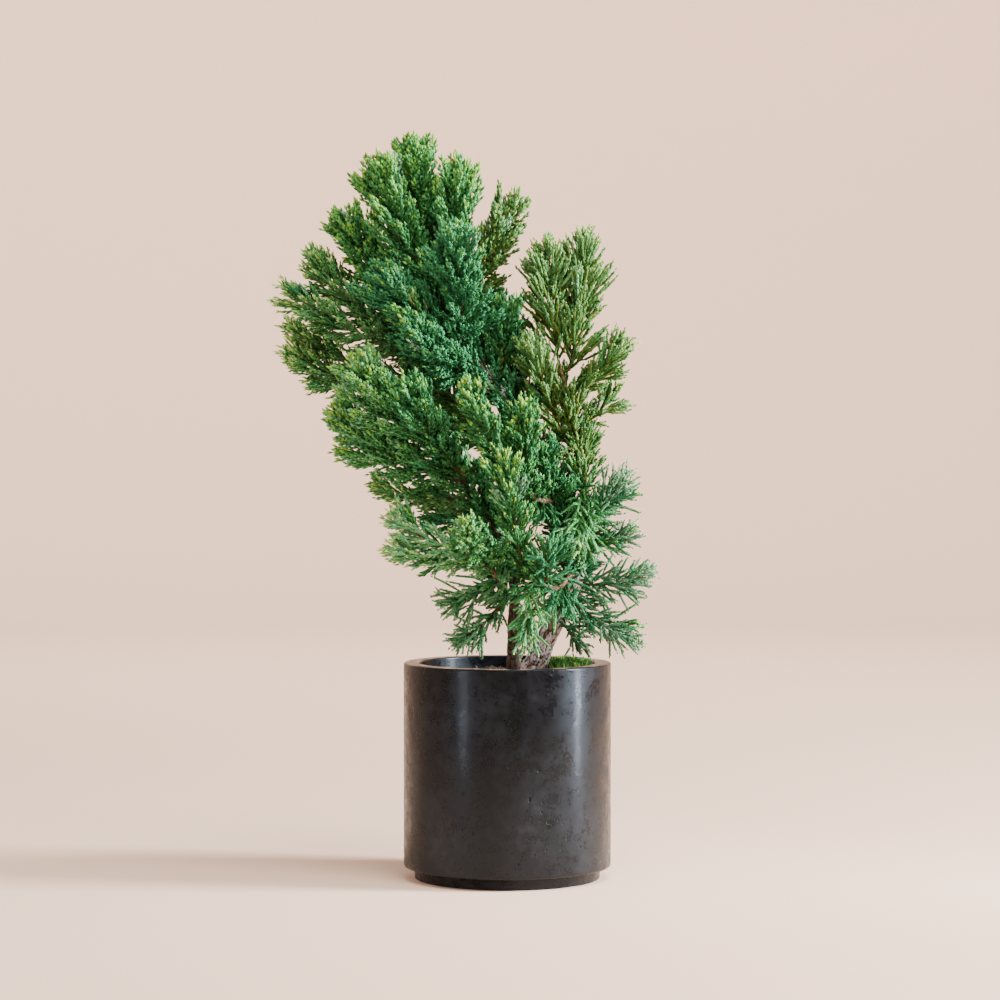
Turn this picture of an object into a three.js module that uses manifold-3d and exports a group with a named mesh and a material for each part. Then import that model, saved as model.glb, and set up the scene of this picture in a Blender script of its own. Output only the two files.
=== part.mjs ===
// Potted sea green juniper: a young conifer with two leaning stems in a cylindrical concrete planter.
// Millimetres, +Z up, origin at the middle of the planter's flat underside.
// +X is the viewer's right and +Y points away from the viewer.
import * as THREE from "three";
import { mergeVertices } from "three/addons/utils/BufferGeometryUtils.js";
import Module from "manifold-3d";

const wasm = await Module();
wasm.setup();

// Planter: a straight cylinder on a smaller recessed foot.
const POT_RADIUS = 90;
const POT_HEIGHT = 187;
const WALL = 13.5;
const FOOT_RADIUS = 80.5;
const FOOT_HEIGHT = 10;
const FLOOR_TOP = 24;
const LOWER_CHAMFER = 2.5;
const RIM_CHAMFER = 1;
const POT_FACETS = 36;

// Soil, filled to a little below the rim, with a tuft of moss at its right side.
const SOIL_TOP = 178;
const SOIL_FLAT_RADIUS = 72;
const SOIL_EDGE_DROP = 3;
const MOSS_CENTRE = [54, 4];
const MOSS_HALF_SIZE = [17, 24, 11];
const MOSS_FACETS = 12;

// Clearances between separate solids.
const GAP = 0.3;
const ROOT_GAP = 0.5;
const SPACE_MARGIN = 1.3;
const LIMB_MARGIN = 0.9;
const FOLIAGE_FLOOR = 193;

// Limbs. The two stems stand on the soil and pass through the given places.
// Each bough leaves its parent limb at a fraction of that limb's length, and may pass one place on its way.
const STEM_FOOT = SOIL_TOP + GAP;
const STEMS = {
  trunk: {
    places: [
      [22, -2, STEM_FOOT], [33, -4, 206], [51, -6, 241], [62, -4, 276], [43, 2, 326],
      [24, 4, 384], [-10, 2, 428], [-38, 0, 464], [-58, -2, 515],
    ],
    footRadius: 9.2, tipRadius: 2.2, flare: 3.6, rings: 27, sides: 10,
  },
  left_stem: {
    places: [
      [6, 16, STEM_FOOT], [5, 10, 219], [6, 2, 250], [-2, -8, 284],
      [-19, -20, 315], [-54, -36, 358],
    ],
    footRadius: 5.6, tipRadius: 2.2, flare: 1.6, rings: 10, sides: 6,
  },
};
const TAPER_POWER = 0.85;
const FLARE_FADE = 14;
const BOUGH_RINGS = 6;
const BOUGH_SIDES = 7;
const BOUGH_TIP_RADIUS = 1.8;
const BOUGHS = {
  right_bough: { on: "trunk", at: 0.33, past: [66, 8, 350], tip: [45, 0, 446], radius: 4.4 },
  mid_left_bough: { on: "trunk", at: 0.56, past: [-30, 34, 404], tip: [-88, 26, 434], radius: 3.4 },
  high_left_bough: { on: "trunk", at: 0.77, past: [-60, 14, 452], tip: [-95, 12, 470], radius: 3 },
  front_bough: { on: "trunk", at: 0.43, past: [26, -34, 330], tip: [6, -60, 346], radius: 3.2 },
  low_left_bough: { on: "left_stem", at: 0.36, past: [-14, -36, 268], tip: [-36, -58, 284], radius: 3 },
  low_front_bough: { on: "trunk", at: 0.24, past: [42, -36, 252], tip: [20, -50, 262], radius: 3 },
  back_bough: { on: "trunk", at: 0.4, past: [26, 44, 344], tip: [-6, 68, 372], radius: 3.4 },
};

// Foliage. Each mass is a plume: it leaves its limb at a fraction of that limb's length, ends at its tip,
// and its shoots reach out to the sides by its reach.
const MASSES = {
  top_spire: { on: "trunk", at: 1, tip: [-86, 0, 644], reach: 33 },
  top_right_spire: { on: "trunk", at: 0.97, tip: [-43, -24, 626], reach: 30 },
  left_shoulder: { on: "trunk", at: 0.935, tip: [-112, -30, 624], reach: 32 },
  left_wing: { on: "trunk", at: 0.9, tip: [-151, 18, 582], reach: 27 },
  right_arm: { on: "trunk", at: 0.925, tip: [10, 4, 598], reach: 25 },
  front_cascade: { on: "trunk", at: 0.86, tip: [-48, -70, 562], reach: 33 },
  front_left_plume: { on: "trunk", at: 0.8, tip: [-113, -56, 531], reach: 32 },
  mid_front_plume: { on: "trunk", at: 0.74, tip: [-88, -76, 480], reach: 30 },
  right_low_plume: { on: "trunk", at: 0.72, tip: [-8, 2, 504], reach: 25 },
  back_top: { on: "trunk", at: 0.88, tip: [-72, 54, 588], reach: 36 },
  back_left: { on: "trunk", at: 0.79, tip: [-115, 72, 515], reach: 36 },
  back_upper_right: { on: "trunk", at: 0.68, tip: [-14, 60, 514], reach: 33 },
  high_left_plume: { on: "high_left_bough", at: 1, tip: [-176, 14, 548], reach: 30 },
  high_left_lower: { on: "high_left_bough", at: 0.9, tip: [-196, -4, 516], reach: 28 },
  mid_left_plume: { on: "mid_left_bough", at: 1, tip: [-198, 28, 483], reach: 27 },
  mid_left_lower: { on: "mid_left_bough", at: 0.9, tip: [-198, 10, 461], reach: 27 },
  bright_left_top: { on: "left_stem", at: 1, tip: [-131, -66, 453], reach: 32 },
  bright_left_low: { on: "left_stem", at: 0.96, tip: [-153, -36, 411], reach: 32 },
  centre_left_plume: { on: "left_stem", at: 0.9, tip: [-90, -86, 434], reach: 28 },
  under_left: { on: "left_stem", at: 0.84, tip: [-120, -14, 345], reach: 22 },
  lower_left_plume: { on: "low_left_bough", at: 1, tip: [-101, -58, 319], reach: 26 },
  facing_tuft: { on: "low_left_bough", at: 0.93, tip: [-37, -110, 314], reach: 21 },
  low_left_plume: { on: "low_left_bough", at: 0.85, tip: [-101, -66, 294], reach: 22 },
  back_lower_left: { on: "left_stem", at: 0.66, tip: [-74, 44, 336], reach: 32 },
  bottom_left_spray: { on: "left_stem", at: 0.42, tip: [-64, -26, 240], reach: 21 },
  drooping_left_spray: { on: "left_stem", at: 0.32, tip: [-52, -42, 205], reach: 18 },
  bright_front_left: { on: "front_bough", at: 1, tip: [-36, -80, 431], reach: 22 },
  bright_front_right: { on: "front_bough", at: 0.85, tip: [16, -62, 417], reach: 24 },
  centre_plume: { on: "low_front_bough", at: 1, tip: [-3, -92, 371], reach: 27 },
  front_skirt: { on: "low_front_bough", at: 0.8, tip: [34, -74, 299], reach: 24 },
  front_drooping: { on: "low_front_bough", at: 0.92, tip: [12, -58, 199], reach: 18 },
  centre_right_plume: { on: "trunk", at: 0.47, tip: [26, -34, 376], reach: 24 },
  right_plume_left: { on: "right_bough", at: 1, tip: [33, -8, 559], reach: 27 },
  right_plume_right: { on: "right_bough", at: 0.95, tip: [68, 8, 565], reach: 28 },
  right_side_plume: { on: "right_bough", at: 0.8, tip: [101, -10, 472], reach: 22 },
  right_side_low: { on: "right_bough", at: 0.64, tip: [97, 10, 428], reach: 21 },
  right_inner_plume: { on: "right_bough", at: 0.55, tip: [15, -18, 475], reach: 24 },
  right_drooping: { on: "right_bough", at: 0.3, tip: [60, -48, 282], reach: 22 },
  right_fan_up: { on: "trunk", at: 0.36, tip: [106, -20, 354], reach: 22 },
  right_fan_side: { on: "trunk", at: 0.31, tip: [113, -8, 304], reach: 24 },
  right_long_spray: { on: "trunk", at: 0.235, tip: [126, -14, 270], reach: 22 },
  right_low_spray: { on: "trunk", at: 0.18, tip: [116, -22, 209], reach: 22 },
  right_foot_spray: { on: "trunk", at: 0.13, tip: [71, -26, 197], reach: 20 },
  back_mid: { on: "back_bough", at: 1, tip: [-80, 88, 425], reach: 38 },
  back_centre: { on: "back_bough", at: 0.85, tip: [1, 92, 428], reach: 34 },
  back_low: { on: "back_bough", at: 0.6, tip: [-26, 94, 302], reach: 33 },
  back_right_low: { on: "trunk", at: 0.38, tip: [91, 56, 333], reach: 28 },
};

// Growth rule shared by every mass: how its axis runs, how thick its stem is and where its shoots stand.
const LEAVING_RUN = 5;
const SAG = 0.09;
const TWIG_RADIUS = 2.3;
const TWIG_RADIUS_GAIN = 0.004;
const BARE_SHARE = 0.2;
const SHOOT_SPACING = 8.2;
const GOLDEN_ANGLE = THREE.MathUtils.degToRad(137.5);
const ROLL_SPREAD = 0.5;
const WIDE_ANGLE = THREE.MathUtils.degToRad(46);
const NARROW_ANGLE = THREE.MathUtils.degToRad(24);
const ANGLE_SPREAD = [0.9, 1.1];
const BLADE_TURN_SPREAD = 1.6;
const REACH_SPREAD = [0.85, 1.1];
const WIDTH_PHASES = [0.15, 0.91];
const PAST_TIP = 1.12;
const SHORTENINGS = [1, 0.75, 0.55];
const SHORTEST_SHOOT = 9;
const LONG_SHOOT = 46;
const END_SHOOT_SHARE = 0.26;
const END_SHOOT_LENGTHS = [12, 27];
const ROOT_DEPTH = 3;
const SPRAY_THICKNESS = 1.6;
const SPRAY_ROOT_WIDTH = 1.4;
const SPRAY_SLENDERNESS = 0.31;
const TWIG_SIDES = 3;
const TWIG_TIP_RADIUS = 2.1;
const AXIS_SAMPLES = 14;
const LIMB_WIDTH_SHARE = 0.1;
const MERGE_DISTANCE = 0.02;
const SEED_STEP = 7919;

const FINISHES = {
  concrete: { color: 0x34312f, roughness: 0.42, metalness: 0 },
  soil: { color: 0x2a1f18, roughness: 0.95, metalness: 0 },
  moss: { color: 0x5d7a32, roughness: 0.9, metalness: 0 },
  bark: { color: 0x6a5348, roughness: 0.9, metalness: 0 },
  foliage: { color: 0x3f7a4a, roughness: 0.75, metalness: 0 },
};

const plant = new THREE.Group();

function addPiece(name, geometry, finish) {
  const mesh = new THREE.Mesh(geometry, new THREE.MeshStandardMaterial(FINISHES[finish]));
  mesh.name = name;
  plant.add(mesh);
}

// Solids: to and from the boolean library
function solidFrom(geometry) {
  const bare = geometry.clone();
  bare.deleteAttribute("normal");
  bare.deleteAttribute("uv");
  const merged = mergeVertices(bare, 1e-4);
  return new wasm.Manifold(new wasm.Mesh({
    numProp: 3,
    vertProperties: new Float32Array(merged.attributes.position.array),
    triVerts: new Uint32Array(merged.index.array),
  }));
}

function geometryFrom(solid) {
  const mesh = solid.getMesh();
  const geometry = new THREE.BufferGeometry();
  geometry.setAttribute("position", new THREE.BufferAttribute(new Float32Array(mesh.vertProperties), 3));
  geometry.setIndex(new THREE.BufferAttribute(new Uint32Array(mesh.triVerts), 1));
  geometry.computeVertexNormals();
  return geometry;
}

// The largest body of a fused solid: loose scraps and the walls of sealed hollows are left out.
function largestBody(solid) {
  return solid.decompose().reduce((best, body) => (body.volume() > best.volume() ? body : best));
}

// A ring of points round a place, square to a direction, counted from a reference direction.
function ringOf(centre, direction, reference, radius, sides) {
  const across = reference.clone().addScaledVector(direction, -reference.dot(direction)).normalize();
  const up = new THREE.Vector3().crossVectors(direction, across);
  return Array.from({ length: sides }, (_, side) => {
    const turn = (2 * Math.PI * side) / sides;
    return centre.clone()
      .addScaledVector(across, radius * Math.cos(turn))
      .addScaledVector(up, radius * Math.sin(turn));
  });
}

// The coordinate axis that lies most nearly square to a limb.
function steadyReference(curve) {
  const run = curve.getPoint(1).sub(curve.getPoint(0));
  const axes = [new THREE.Vector3(1, 0, 0), new THREE.Vector3(0, 1, 0), new THREE.Vector3(0, 0, 1)];
  return axes.reduce((best, axis) => (Math.abs(axis.dot(run)) < Math.abs(best.dot(run)) ? axis : best));
}

// A closed skin over rings of points, with flat ends.
function loftGeometry(rings) {
  const sides = rings[0].length;
  const last = (rings.length - 1) * sides;
  const triangles = [];
  for (let ring = 0; ring + 1 < rings.length; ring += 1) {
    for (let side = 0; side < sides; side += 1) {
      const here = ring * sides + side;
      const beside = ring * sides + ((side + 1) % sides);
      triangles.push(here, beside, beside + sides, here, beside + sides, here + sides);
    }
  }
  for (let side = 1; side + 1 < sides; side += 1) {
    triangles.push(0, side + 1, side);
    triangles.push(last, last + side, last + side + 1);
  }
  const geometry = new THREE.BufferGeometry();
  geometry.setFromPoints(rings.flat());
  geometry.setIndex(triangles);
  geometry.computeVertexNormals();
  return geometry;
}

// A limb of tapering round section along a curve. Its foot is a flat cut, square to the foot direction.
function limbGeometry({ curve, radiusAt, rings, sides, footDirection }) {
  const reference = steadyReference(curve);
  return loftGeometry(Array.from({ length: rings + 1 }, (_, ring) => {
    const share = ring / rings;
    const direction = ring === 0 ? footDirection : curve.getTangentAt(share);
    return ringOf(curve.getPointAt(share), direction, reference, radiusAt(share), sides);
  }));
}

function vector(place) {
  return new THREE.Vector3(...place);
}

// Planter, soil and moss
function latheAround(profile, facets) {
  const points = profile.map(([radius, height]) => new THREE.Vector2(radius, height));
  return new THREE.LatheGeometry(points, facets).rotateX(Math.PI / 2);
}

function potGeometry() {
  const inner = POT_RADIUS - WALL;
  return latheAround([
    [0, 0],
    [FOOT_RADIUS, 0],
    [FOOT_RADIUS, FOOT_HEIGHT],
    [POT_RADIUS - LOWER_CHAMFER, FOOT_HEIGHT],
    [POT_RADIUS, FOOT_HEIGHT + LOWER_CHAMFER],
    [POT_RADIUS, POT_HEIGHT - RIM_CHAMFER],
    [POT_RADIUS - RIM_CHAMFER, POT_HEIGHT],
    [inner + RIM_CHAMFER, POT_HEIGHT],
    [inner, POT_HEIGHT - RIM_CHAMFER],
    [inner, FLOOR_TOP],
    [0, FLOOR_TOP],
  ], POT_FACETS);
}

function soilGeometry() {
  const radius = POT_RADIUS - WALL - GAP;
  return latheAround([
    [0, FLOOR_TOP + GAP],
    [radius, FLOOR_TOP + GAP],
    [radius, SOIL_TOP - SOIL_EDGE_DROP],
    [SOIL_FLAT_RADIUS, SOIL_TOP],
    [0, SOIL_TOP],
  ], POT_FACETS);
}

function mossGeometry() {
  const dome = latheAround([[0, 0], [1, 0], [0.9, 0.5], [0.5, 0.9], [0, 1]], MOSS_FACETS);
  return dome.scale(...MOSS_HALF_SIZE).translate(...MOSS_CENTRE, SOIL_TOP + GAP);
}

// Limbs
function makeStem({ places, footRadius, tipRadius, flare, rings, sides }) {
  const curve = new THREE.CatmullRomCurve3(places.map(vector));
  const length = curve.getLength();
  const radiusAt = (share) => {
    const taper = THREE.MathUtils.lerp(footRadius, tipRadius, share ** TAPER_POWER);
    return taper + flare * Math.exp((-share * length) / FLARE_FADE);
  };
  return { curve, radiusAt, rings, sides, footDirection: new THREE.Vector3(0, 0, 1) };
}

// Where a bough or a plume leaves its limb: just clear of the bark, or of the limb's end when it carries on.
function leavingPlace(limb, share, tip) {
  const centre = limb.curve.getPointAt(share);
  const along = limb.curve.getTangentAt(share);
  if (share === 1) {
    return { start: centre.addScaledVector(along, ROOT_GAP), outward: along };
  }
  const outward = tip.clone().sub(centre);
  outward.addScaledVector(along, -outward.dot(along)).normalize();
  return { start: centre.addScaledVector(outward, limb.radiusAt(share) + ROOT_GAP), outward };
}

function makeBough({ on, at, past, tip, radius }, limbs) {
  const { start, outward } = leavingPlace(limbs[on], at, vector(past));
  const curve = new THREE.CatmullRomCurve3([
    start, start.clone().addScaledVector(outward, LEAVING_RUN), vector(past), vector(tip),
  ]);
  const radiusAt = (share) => THREE.MathUtils.lerp(radius, BOUGH_TIP_RADIUS, share);
  return { curve, radiusAt, rings: BOUGH_RINGS, sides: BOUGH_SIDES, footDirection: outward };
}

function makeLimbs() {
  const limbs = {};
  for (const [name, stem] of Object.entries(STEMS)) {
    limbs[name] = makeStem(stem);
  }
  for (const [name, bough] of Object.entries(BOUGHS)) {
    limbs[name] = makeBough(bough, limbs);
  }
  return limbs;
}

// Foliage masses
function seededRandom(seed) {
  let state = seed;
  return () => {
    state = (state * 48271) % 2147483647;
    return state / 2147483647;
  };
}

function sampledLine(curve) {
  return curve.getSpacedPoints(AXIS_SAMPLES);
}

function distanceToLine(point, line) {
  let nearest = Infinity;
  const foot = new THREE.Vector3();
  for (let index = 0; index + 1 < line.length; index += 1) {
    new THREE.Line3(line[index], line[index + 1]).closestPointToPoint(point, true, foot);
    nearest = Math.min(nearest, foot.distanceTo(point));
  }
  return nearest;
}

// A plume's axis: out of its limb, sagging a little, then up to its tip.
function makeAxis({ on, at, tip: place, reach }, limbs) {
  const tip = vector(place);
  const { start, outward } = leavingPlace(limbs[on], at, tip);
  const left = start.clone().addScaledVector(outward, LEAVING_RUN);
  const middle = left.clone().lerp(tip, 0.5);
  middle.z -= SAG * left.distanceTo(tip);
  const curve = new THREE.CatmullRomCurve3([start, left, middle, tip]);
  const length = curve.getLength();
  const stemRadius = TWIG_RADIUS + TWIG_RADIUS_GAIN * length;
  return { curve, length, line: sampledLine(curve), reach, outward, stemRadius };
}

// How far the shoots reach along a plume, as a share of its reach: half at its foot, full past its middle.
function plumeWidth(share) {
  return Math.sin(Math.PI * THREE.MathUtils.lerp(...WIDTH_PHASES, share));
}

// A point belongs to a mass where that mass's axis is nearest for its reach, clear of the limbs and the pot.
function isFree(point, own, axes, limbLines) {
  if (point.z < FOLIAGE_FLOOR) {
    return false;
  }
  const ownShare = distanceToLine(point, own.line) / own.reach;
  for (const other of axes) {
    if (other !== own) {
      const distance = distanceToLine(point, other.line);
      const margin = (SPACE_MARGIN / 2) * (1 / own.reach + 1 / other.reach);
      if (distance / other.reach - ownShare < margin || distance < other.stemRadius + SPACE_MARGIN) {
        return false;
      }
    }
  }
  return limbLines.every(({ line, radius }) => distanceToLine(point, line) > radius + LIMB_MARGIN);
}

// A spray of needles: a flat blade with one or two pairs of teeth that point forward.
function sprayOutline(length) {
  const half = length * SPRAY_SLENDERNESS;
  const root = SPRAY_ROOT_WIDTH / 2;
  const lowTooth = [[half * 0.85, length * 0.5], [root, length * 0.36]];
  const right = length > LONG_SHOOT
    ? [[root, 0], ...lowTooth, [half, length * 0.8], [root, length * 0.62]]
    : [[root, 0], [half, length * 0.7], [root, length * 0.45]];
  const left = right.map(([across, along]) => [-across, along]).reverse();
  return [...right, [0, length], ...left];
}

// Where a spray stands: from its start along its direction, as wide as the across direction says.
function sprayFrame(start, direction, across) {
  const side = across.clone().addScaledVector(direction, -across.dot(direction)).normalize();
  const face = new THREE.Vector3().crossVectors(side, direction);
  return new THREE.Matrix4().makeBasis(side, direction, face).setPosition(start);
}

function sprayFits(outline, frame, own, axes, limbLines) {
  for (const face of [-SPRAY_THICKNESS / 2, SPRAY_THICKNESS / 2]) {
    for (let index = 1; index + 1 < outline.length; index += 1) {
      const corner = new THREE.Vector3(...outline[index], face);
      const next = new THREE.Vector3(...outline[index + 1], face);
      for (const point of [corner, corner.clone().lerp(next, 0.5)]) {
        if (!isFree(point.applyMatrix4(frame), own, axes, limbLines)) {
          return false;
        }
      }
    }
  }
  return true;
}

function spraySolid(outline, frame) {
  const shape = new THREE.Shape(outline.map(([across, along]) => new THREE.Vector2(across, along)));
  const blade = new THREE.ExtrudeGeometry(shape, { depth: SPRAY_THICKNESS, bevelEnabled: false });
  return solidFrom(blade.translate(0, 0, -SPRAY_THICKNESS / 2).applyMatrix4(frame));
}

// A plume's own stem: three-sided, straight between a few places, with flat faces where its shoots stand.
function makeTwig({ curve, length, outward, stemRadius }, endLength) {
  const endShare = 1 - (endLength - ROOT_DEPTH) / length;
  const shares = [0, LEAVING_RUN / length, BARE_SHARE * 0.8, (BARE_SHARE + endShare) / 2, endShare];
  const places = shares.map((share) => curve.getPointAt(share));
  const run = places.at(-1).clone().sub(places[2]).normalize();
  const directions = [outward, run.clone().add(outward).normalize(), run, run, run];
  const reference = steadyReference(curve);
  const geometry = loftGeometry(places.map((place, ring) => {
    const radius = THREE.MathUtils.lerp(stemRadius, TWIG_TIP_RADIUS, shares[ring]);
    return ringOf(place, directions[ring], reference, radius, TWIG_SIDES);
  }));
  const placeAt = (share) => {
    const ring = Math.min(shares.findLastIndex((start) => start <= share), shares.length - 2);
    const part = (share - shares[ring]) / (shares[ring + 1] - shares[ring]);
    return places[ring].clone().lerp(places[ring + 1], part);
  };
  return { geometry, endShare, placeAt, reference };
}

// One plume: its stem, then shoots in a spiral along it, then the shoot that ends it.
function massSolid(own, axes, limbLines, random) {
  const { curve, length, reach } = own;
  const endLength = THREE.MathUtils.clamp(END_SHOOT_SHARE * length, ...END_SHOOT_LENGTHS);
  const twig = makeTwig(own, endLength);
  const parts = [solidFrom(twig.geometry)];
  const count = Math.round(((twig.endShare - BARE_SHARE) * length) / SHOOT_SPACING);
  const between = ([low, high]) => THREE.MathUtils.lerp(low, high, random());
  let roll = random() * 2 * Math.PI;
  for (let index = 0; index < count; index += 1) {
    const share = (index + 0.5) / count;
    const place = THREE.MathUtils.lerp(BARE_SHARE, twig.endShare, share);
    const along = curve.getTangentAt(place);
    const level = twig.reference.clone().addScaledVector(along, -twig.reference.dot(along)).normalize();
    const outward = level.applyAxisAngle(along, roll);
    const angle = THREE.MathUtils.lerp(WIDE_ANGLE, NARROW_ANGLE, share) * between(ANGLE_SPREAD);
    const direction = along.clone().multiplyScalar(Math.cos(angle)).addScaledVector(outward, Math.sin(angle));
    const bladeTurn = (random() - 0.5) * BLADE_TURN_SPREAD;
    const across = new THREE.Vector3().crossVectors(along, outward).applyAxisAngle(direction, bladeTurn);
    const sideways = (reach * plumeWidth(share) * between(REACH_SPREAD)) / Math.sin(angle);
    const full = Math.min(sideways, ((1 - place) * length * PAST_TIP) / Math.cos(angle));
    for (const shortening of SHORTENINGS) {
      const outline = sprayOutline(full * shortening);
      const frame = sprayFrame(twig.placeAt(place), direction, across);
      if (full * shortening > SHORTEST_SHOOT && sprayFits(outline, frame, own, axes, limbLines)) {
        parts.push(spraySolid(outline, frame));
        break;
      }
    }
    roll += GOLDEN_ANGLE + (random() - 0.5) * ROLL_SPREAD;
  }
  const endRoot = twig.placeAt(twig.endShare - ROOT_DEPTH / length);
  const endRun = curve.getPointAt(1).sub(endRoot);
  const endFrame = sprayFrame(endRoot, endRun.clone().normalize(), twig.reference);
  parts.push(spraySolid(sprayOutline(endRun.length()), endFrame));
  return largestBody(wasm.Manifold.union(parts).asOriginal().simplify(MERGE_DISTANCE));
}

function addPlant() {
  const limbs = makeLimbs();
  for (const [name, limb] of Object.entries(limbs)) {
    addPiece(name, limbGeometry(limb), "bark");
  }
  const limbLines = Object.values(limbs).map(({ curve, radiusAt }) => (
    { line: sampledLine(curve), radius: radiusAt(LIMB_WIDTH_SHARE) }
  ));
  const axes = Object.values(MASSES).map((mass) => makeAxis(mass, limbs));
  Object.keys(MASSES).forEach((name, index) => {
    const random = seededRandom(SEED_STEP * (index + 1));
    addPiece(name, geometryFrom(massSolid(axes[index], axes, limbLines, random)), "foliage");
  });
}

addPiece("pot", potGeometry(), "concrete");
addPiece("soil", soilGeometry(), "soil");
addPiece("moss", mossGeometry(), "moss");
addPlant();

export default plant;
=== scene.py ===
"""Potted sea green juniper: a young feathery conifer in a dark cast planter."""
import math

import bmesh
import bpy
import numpy as np
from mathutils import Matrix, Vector, noise


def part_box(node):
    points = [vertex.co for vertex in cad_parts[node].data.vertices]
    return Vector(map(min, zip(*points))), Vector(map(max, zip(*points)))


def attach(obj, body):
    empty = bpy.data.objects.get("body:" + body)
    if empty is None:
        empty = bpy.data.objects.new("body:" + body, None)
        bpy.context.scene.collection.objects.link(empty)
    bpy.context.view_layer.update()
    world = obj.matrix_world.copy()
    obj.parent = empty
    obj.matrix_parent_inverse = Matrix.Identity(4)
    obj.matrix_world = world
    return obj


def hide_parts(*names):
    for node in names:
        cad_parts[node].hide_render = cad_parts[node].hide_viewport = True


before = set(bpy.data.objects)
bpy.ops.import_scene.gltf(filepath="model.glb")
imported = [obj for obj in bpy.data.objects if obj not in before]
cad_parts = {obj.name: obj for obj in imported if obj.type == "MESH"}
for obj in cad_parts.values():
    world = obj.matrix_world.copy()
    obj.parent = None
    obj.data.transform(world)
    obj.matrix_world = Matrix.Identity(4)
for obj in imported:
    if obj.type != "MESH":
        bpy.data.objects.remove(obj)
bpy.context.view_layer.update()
BODY = "root"
MM = 0.001


# Planter
# A straight cylinder of cast concrete, ground and waxed until it shines, on a smaller recessed foot.
# Its wall is about 13 mm thick. The rim and the lower edge are eased, and small air holes show in the skin.
pot_low, pot_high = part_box("pot")
POT_RADIUS = (pot_high.x - pot_low.x) / 2
POT_HEIGHT = pot_high.z
POT_WALL = 13.5 * MM
POT_INNER = POT_RADIUS - POT_WALL
FOOT_RADIUS = 80.5 * MM
FOOT_HEIGHT = 10 * MM
FOOT_EDGE = 1.0 * MM
LOWER_EDGE = 3.0 * MM
RIM_EDGE = 1.6 * MM
POT_FLOOR = 24 * MM
POT_FACETS = 144
MERGE_DISTANCE = 0.001 * MM
CONCRETE_DARK = (0.0012, 0.0013, 0.0017, 1)
CONCRETE_MID = (0.0028, 0.0032, 0.0046, 1)
CONCRETE_PALE = (0.009, 0.0106, 0.0148, 1)
CONCRETE_DUSTY = (0.03, 0.032, 0.039, 1)
# A paler, warmer colour low on the wall: a painted reflection of the pale floor.
PAINTED_FLOOR_REFLECTION = (0.0135, 0.013, 0.0122, 1)
AIR_HOLE = (0.0004, 0.0004, 0.0005, 1)
WAX_TINT = (0.6, 0.79, 1.0, 1)


class Wire:
    """One output of a finish's nodes. Arithmetic on wires adds Math nodes."""

    def __init__(self, finish, socket):
        self.finish = finish
        self.socket = socket

    def math(self, operation, first, second):
        return self.finish.node("ShaderNodeMath", {"operation": operation}, {0: first, 1: second})

    def __add__(self, other):
        return self.math("ADD", self, other)

    def __radd__(self, other):
        return self.math("ADD", other, self)

    def __sub__(self, other):
        return self.math("SUBTRACT", self, other)

    def __rsub__(self, other):
        return self.math("SUBTRACT", other, self)

    def __mul__(self, other):
        return self.math("MULTIPLY", self, other)

    def __rmul__(self, other):
        return self.math("MULTIPLY", other, self)


class Finish:
    """A material and its nodes."""

    def __init__(self, name, fixed=None):
        self.material = bpy.data.materials.new(name)
        self.material.use_nodes = True
        self.tree = self.material.node_tree
        self.shader = self.tree.nodes["Principled BSDF"]
        for socket, value in (fixed or {}).items():
            self.shader.inputs[socket].default_value = value

    def node(self, kind, settings=None, inputs=None, output=0):
        """Adds a node: its settings first, then the values or wires of its sockets."""
        made = self.tree.nodes.new(kind)
        for key, value in (settings or {}).items():
            if key == "stops":
                ramp = made.color_ramp
                while len(ramp.elements) < len(value):
                    ramp.elements.new(1)
                for stop, (position, colour) in zip(ramp.elements, value):
                    stop.position = position
                    stop.color = colour
            else:
                setattr(made, key, value)
        for key, value in (inputs or {}).items():
            if isinstance(value, Wire):
                self.tree.links.new(value.socket, made.inputs[key])
            else:
                made.inputs[key].default_value = value
        return Wire(self, made.outputs[output])

    def place(self, scale=(1, 1, 1)):
        """Where a point of the piece is, in metres times a scale."""
        coordinates = self.node("ShaderNodeTexCoord", output="Object")
        return self.node("ShaderNodeMapping", inputs={"Vector": coordinates, "Scale": scale})

    def noise(self, place, scale, detail=3.0, roughness=0.5):
        return self.node(
            "ShaderNodeTexNoise",
            inputs={"Vector": place, "Scale": scale, "Detail": detail, "Roughness": roughness},
        )

    def ramp(self, value, *stops):
        """A wire through a colour ramp, whose stops are numbers or colours."""
        colours = [(at, c if isinstance(c, tuple) else (c, c, c, 1)) for at, c in stops]
        return self.node("ShaderNodeValToRGB", {"stops": colours}, {"Fac": value})

    def mix(self, share, first, second):
        """Two colours mixed by a share. The numbers are those of the node's colour sockets."""
        return self.node(
            "ShaderNodeMix", {"data_type": "RGBA"}, {"Factor": share, 6: first, 7: second}, output=2
        )

    def bump(self, height, distance, strength=1.0):
        normal = self.node(
            "ShaderNodeBump", inputs={"Height": height, "Distance": distance, "Strength": strength}
        )
        self.feed("Normal", normal)

    def feed(self, socket, wire):
        self.tree.links.new(wire.socket, self.shader.inputs[socket])


def finish_piece(shape, name, materials, replaced=(), smooth=True):
    """Turns a mesh into a piece of the object, on its body and in its material slot."""
    piece = bpy.data.objects.new(name, shape)
    bpy.context.scene.collection.objects.link(piece)
    for material in materials:
        shape.materials.append(material)
    if smooth:
        shape.shade_smooth()
    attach(piece, BODY)
    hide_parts(*replaced)
    return piece


def mesh_from(shape, name):
    """A finished mesh from a bmesh."""
    mesh = bpy.data.meshes.new(name)
    shape.to_mesh(mesh)
    shape.free()
    return mesh


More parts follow.
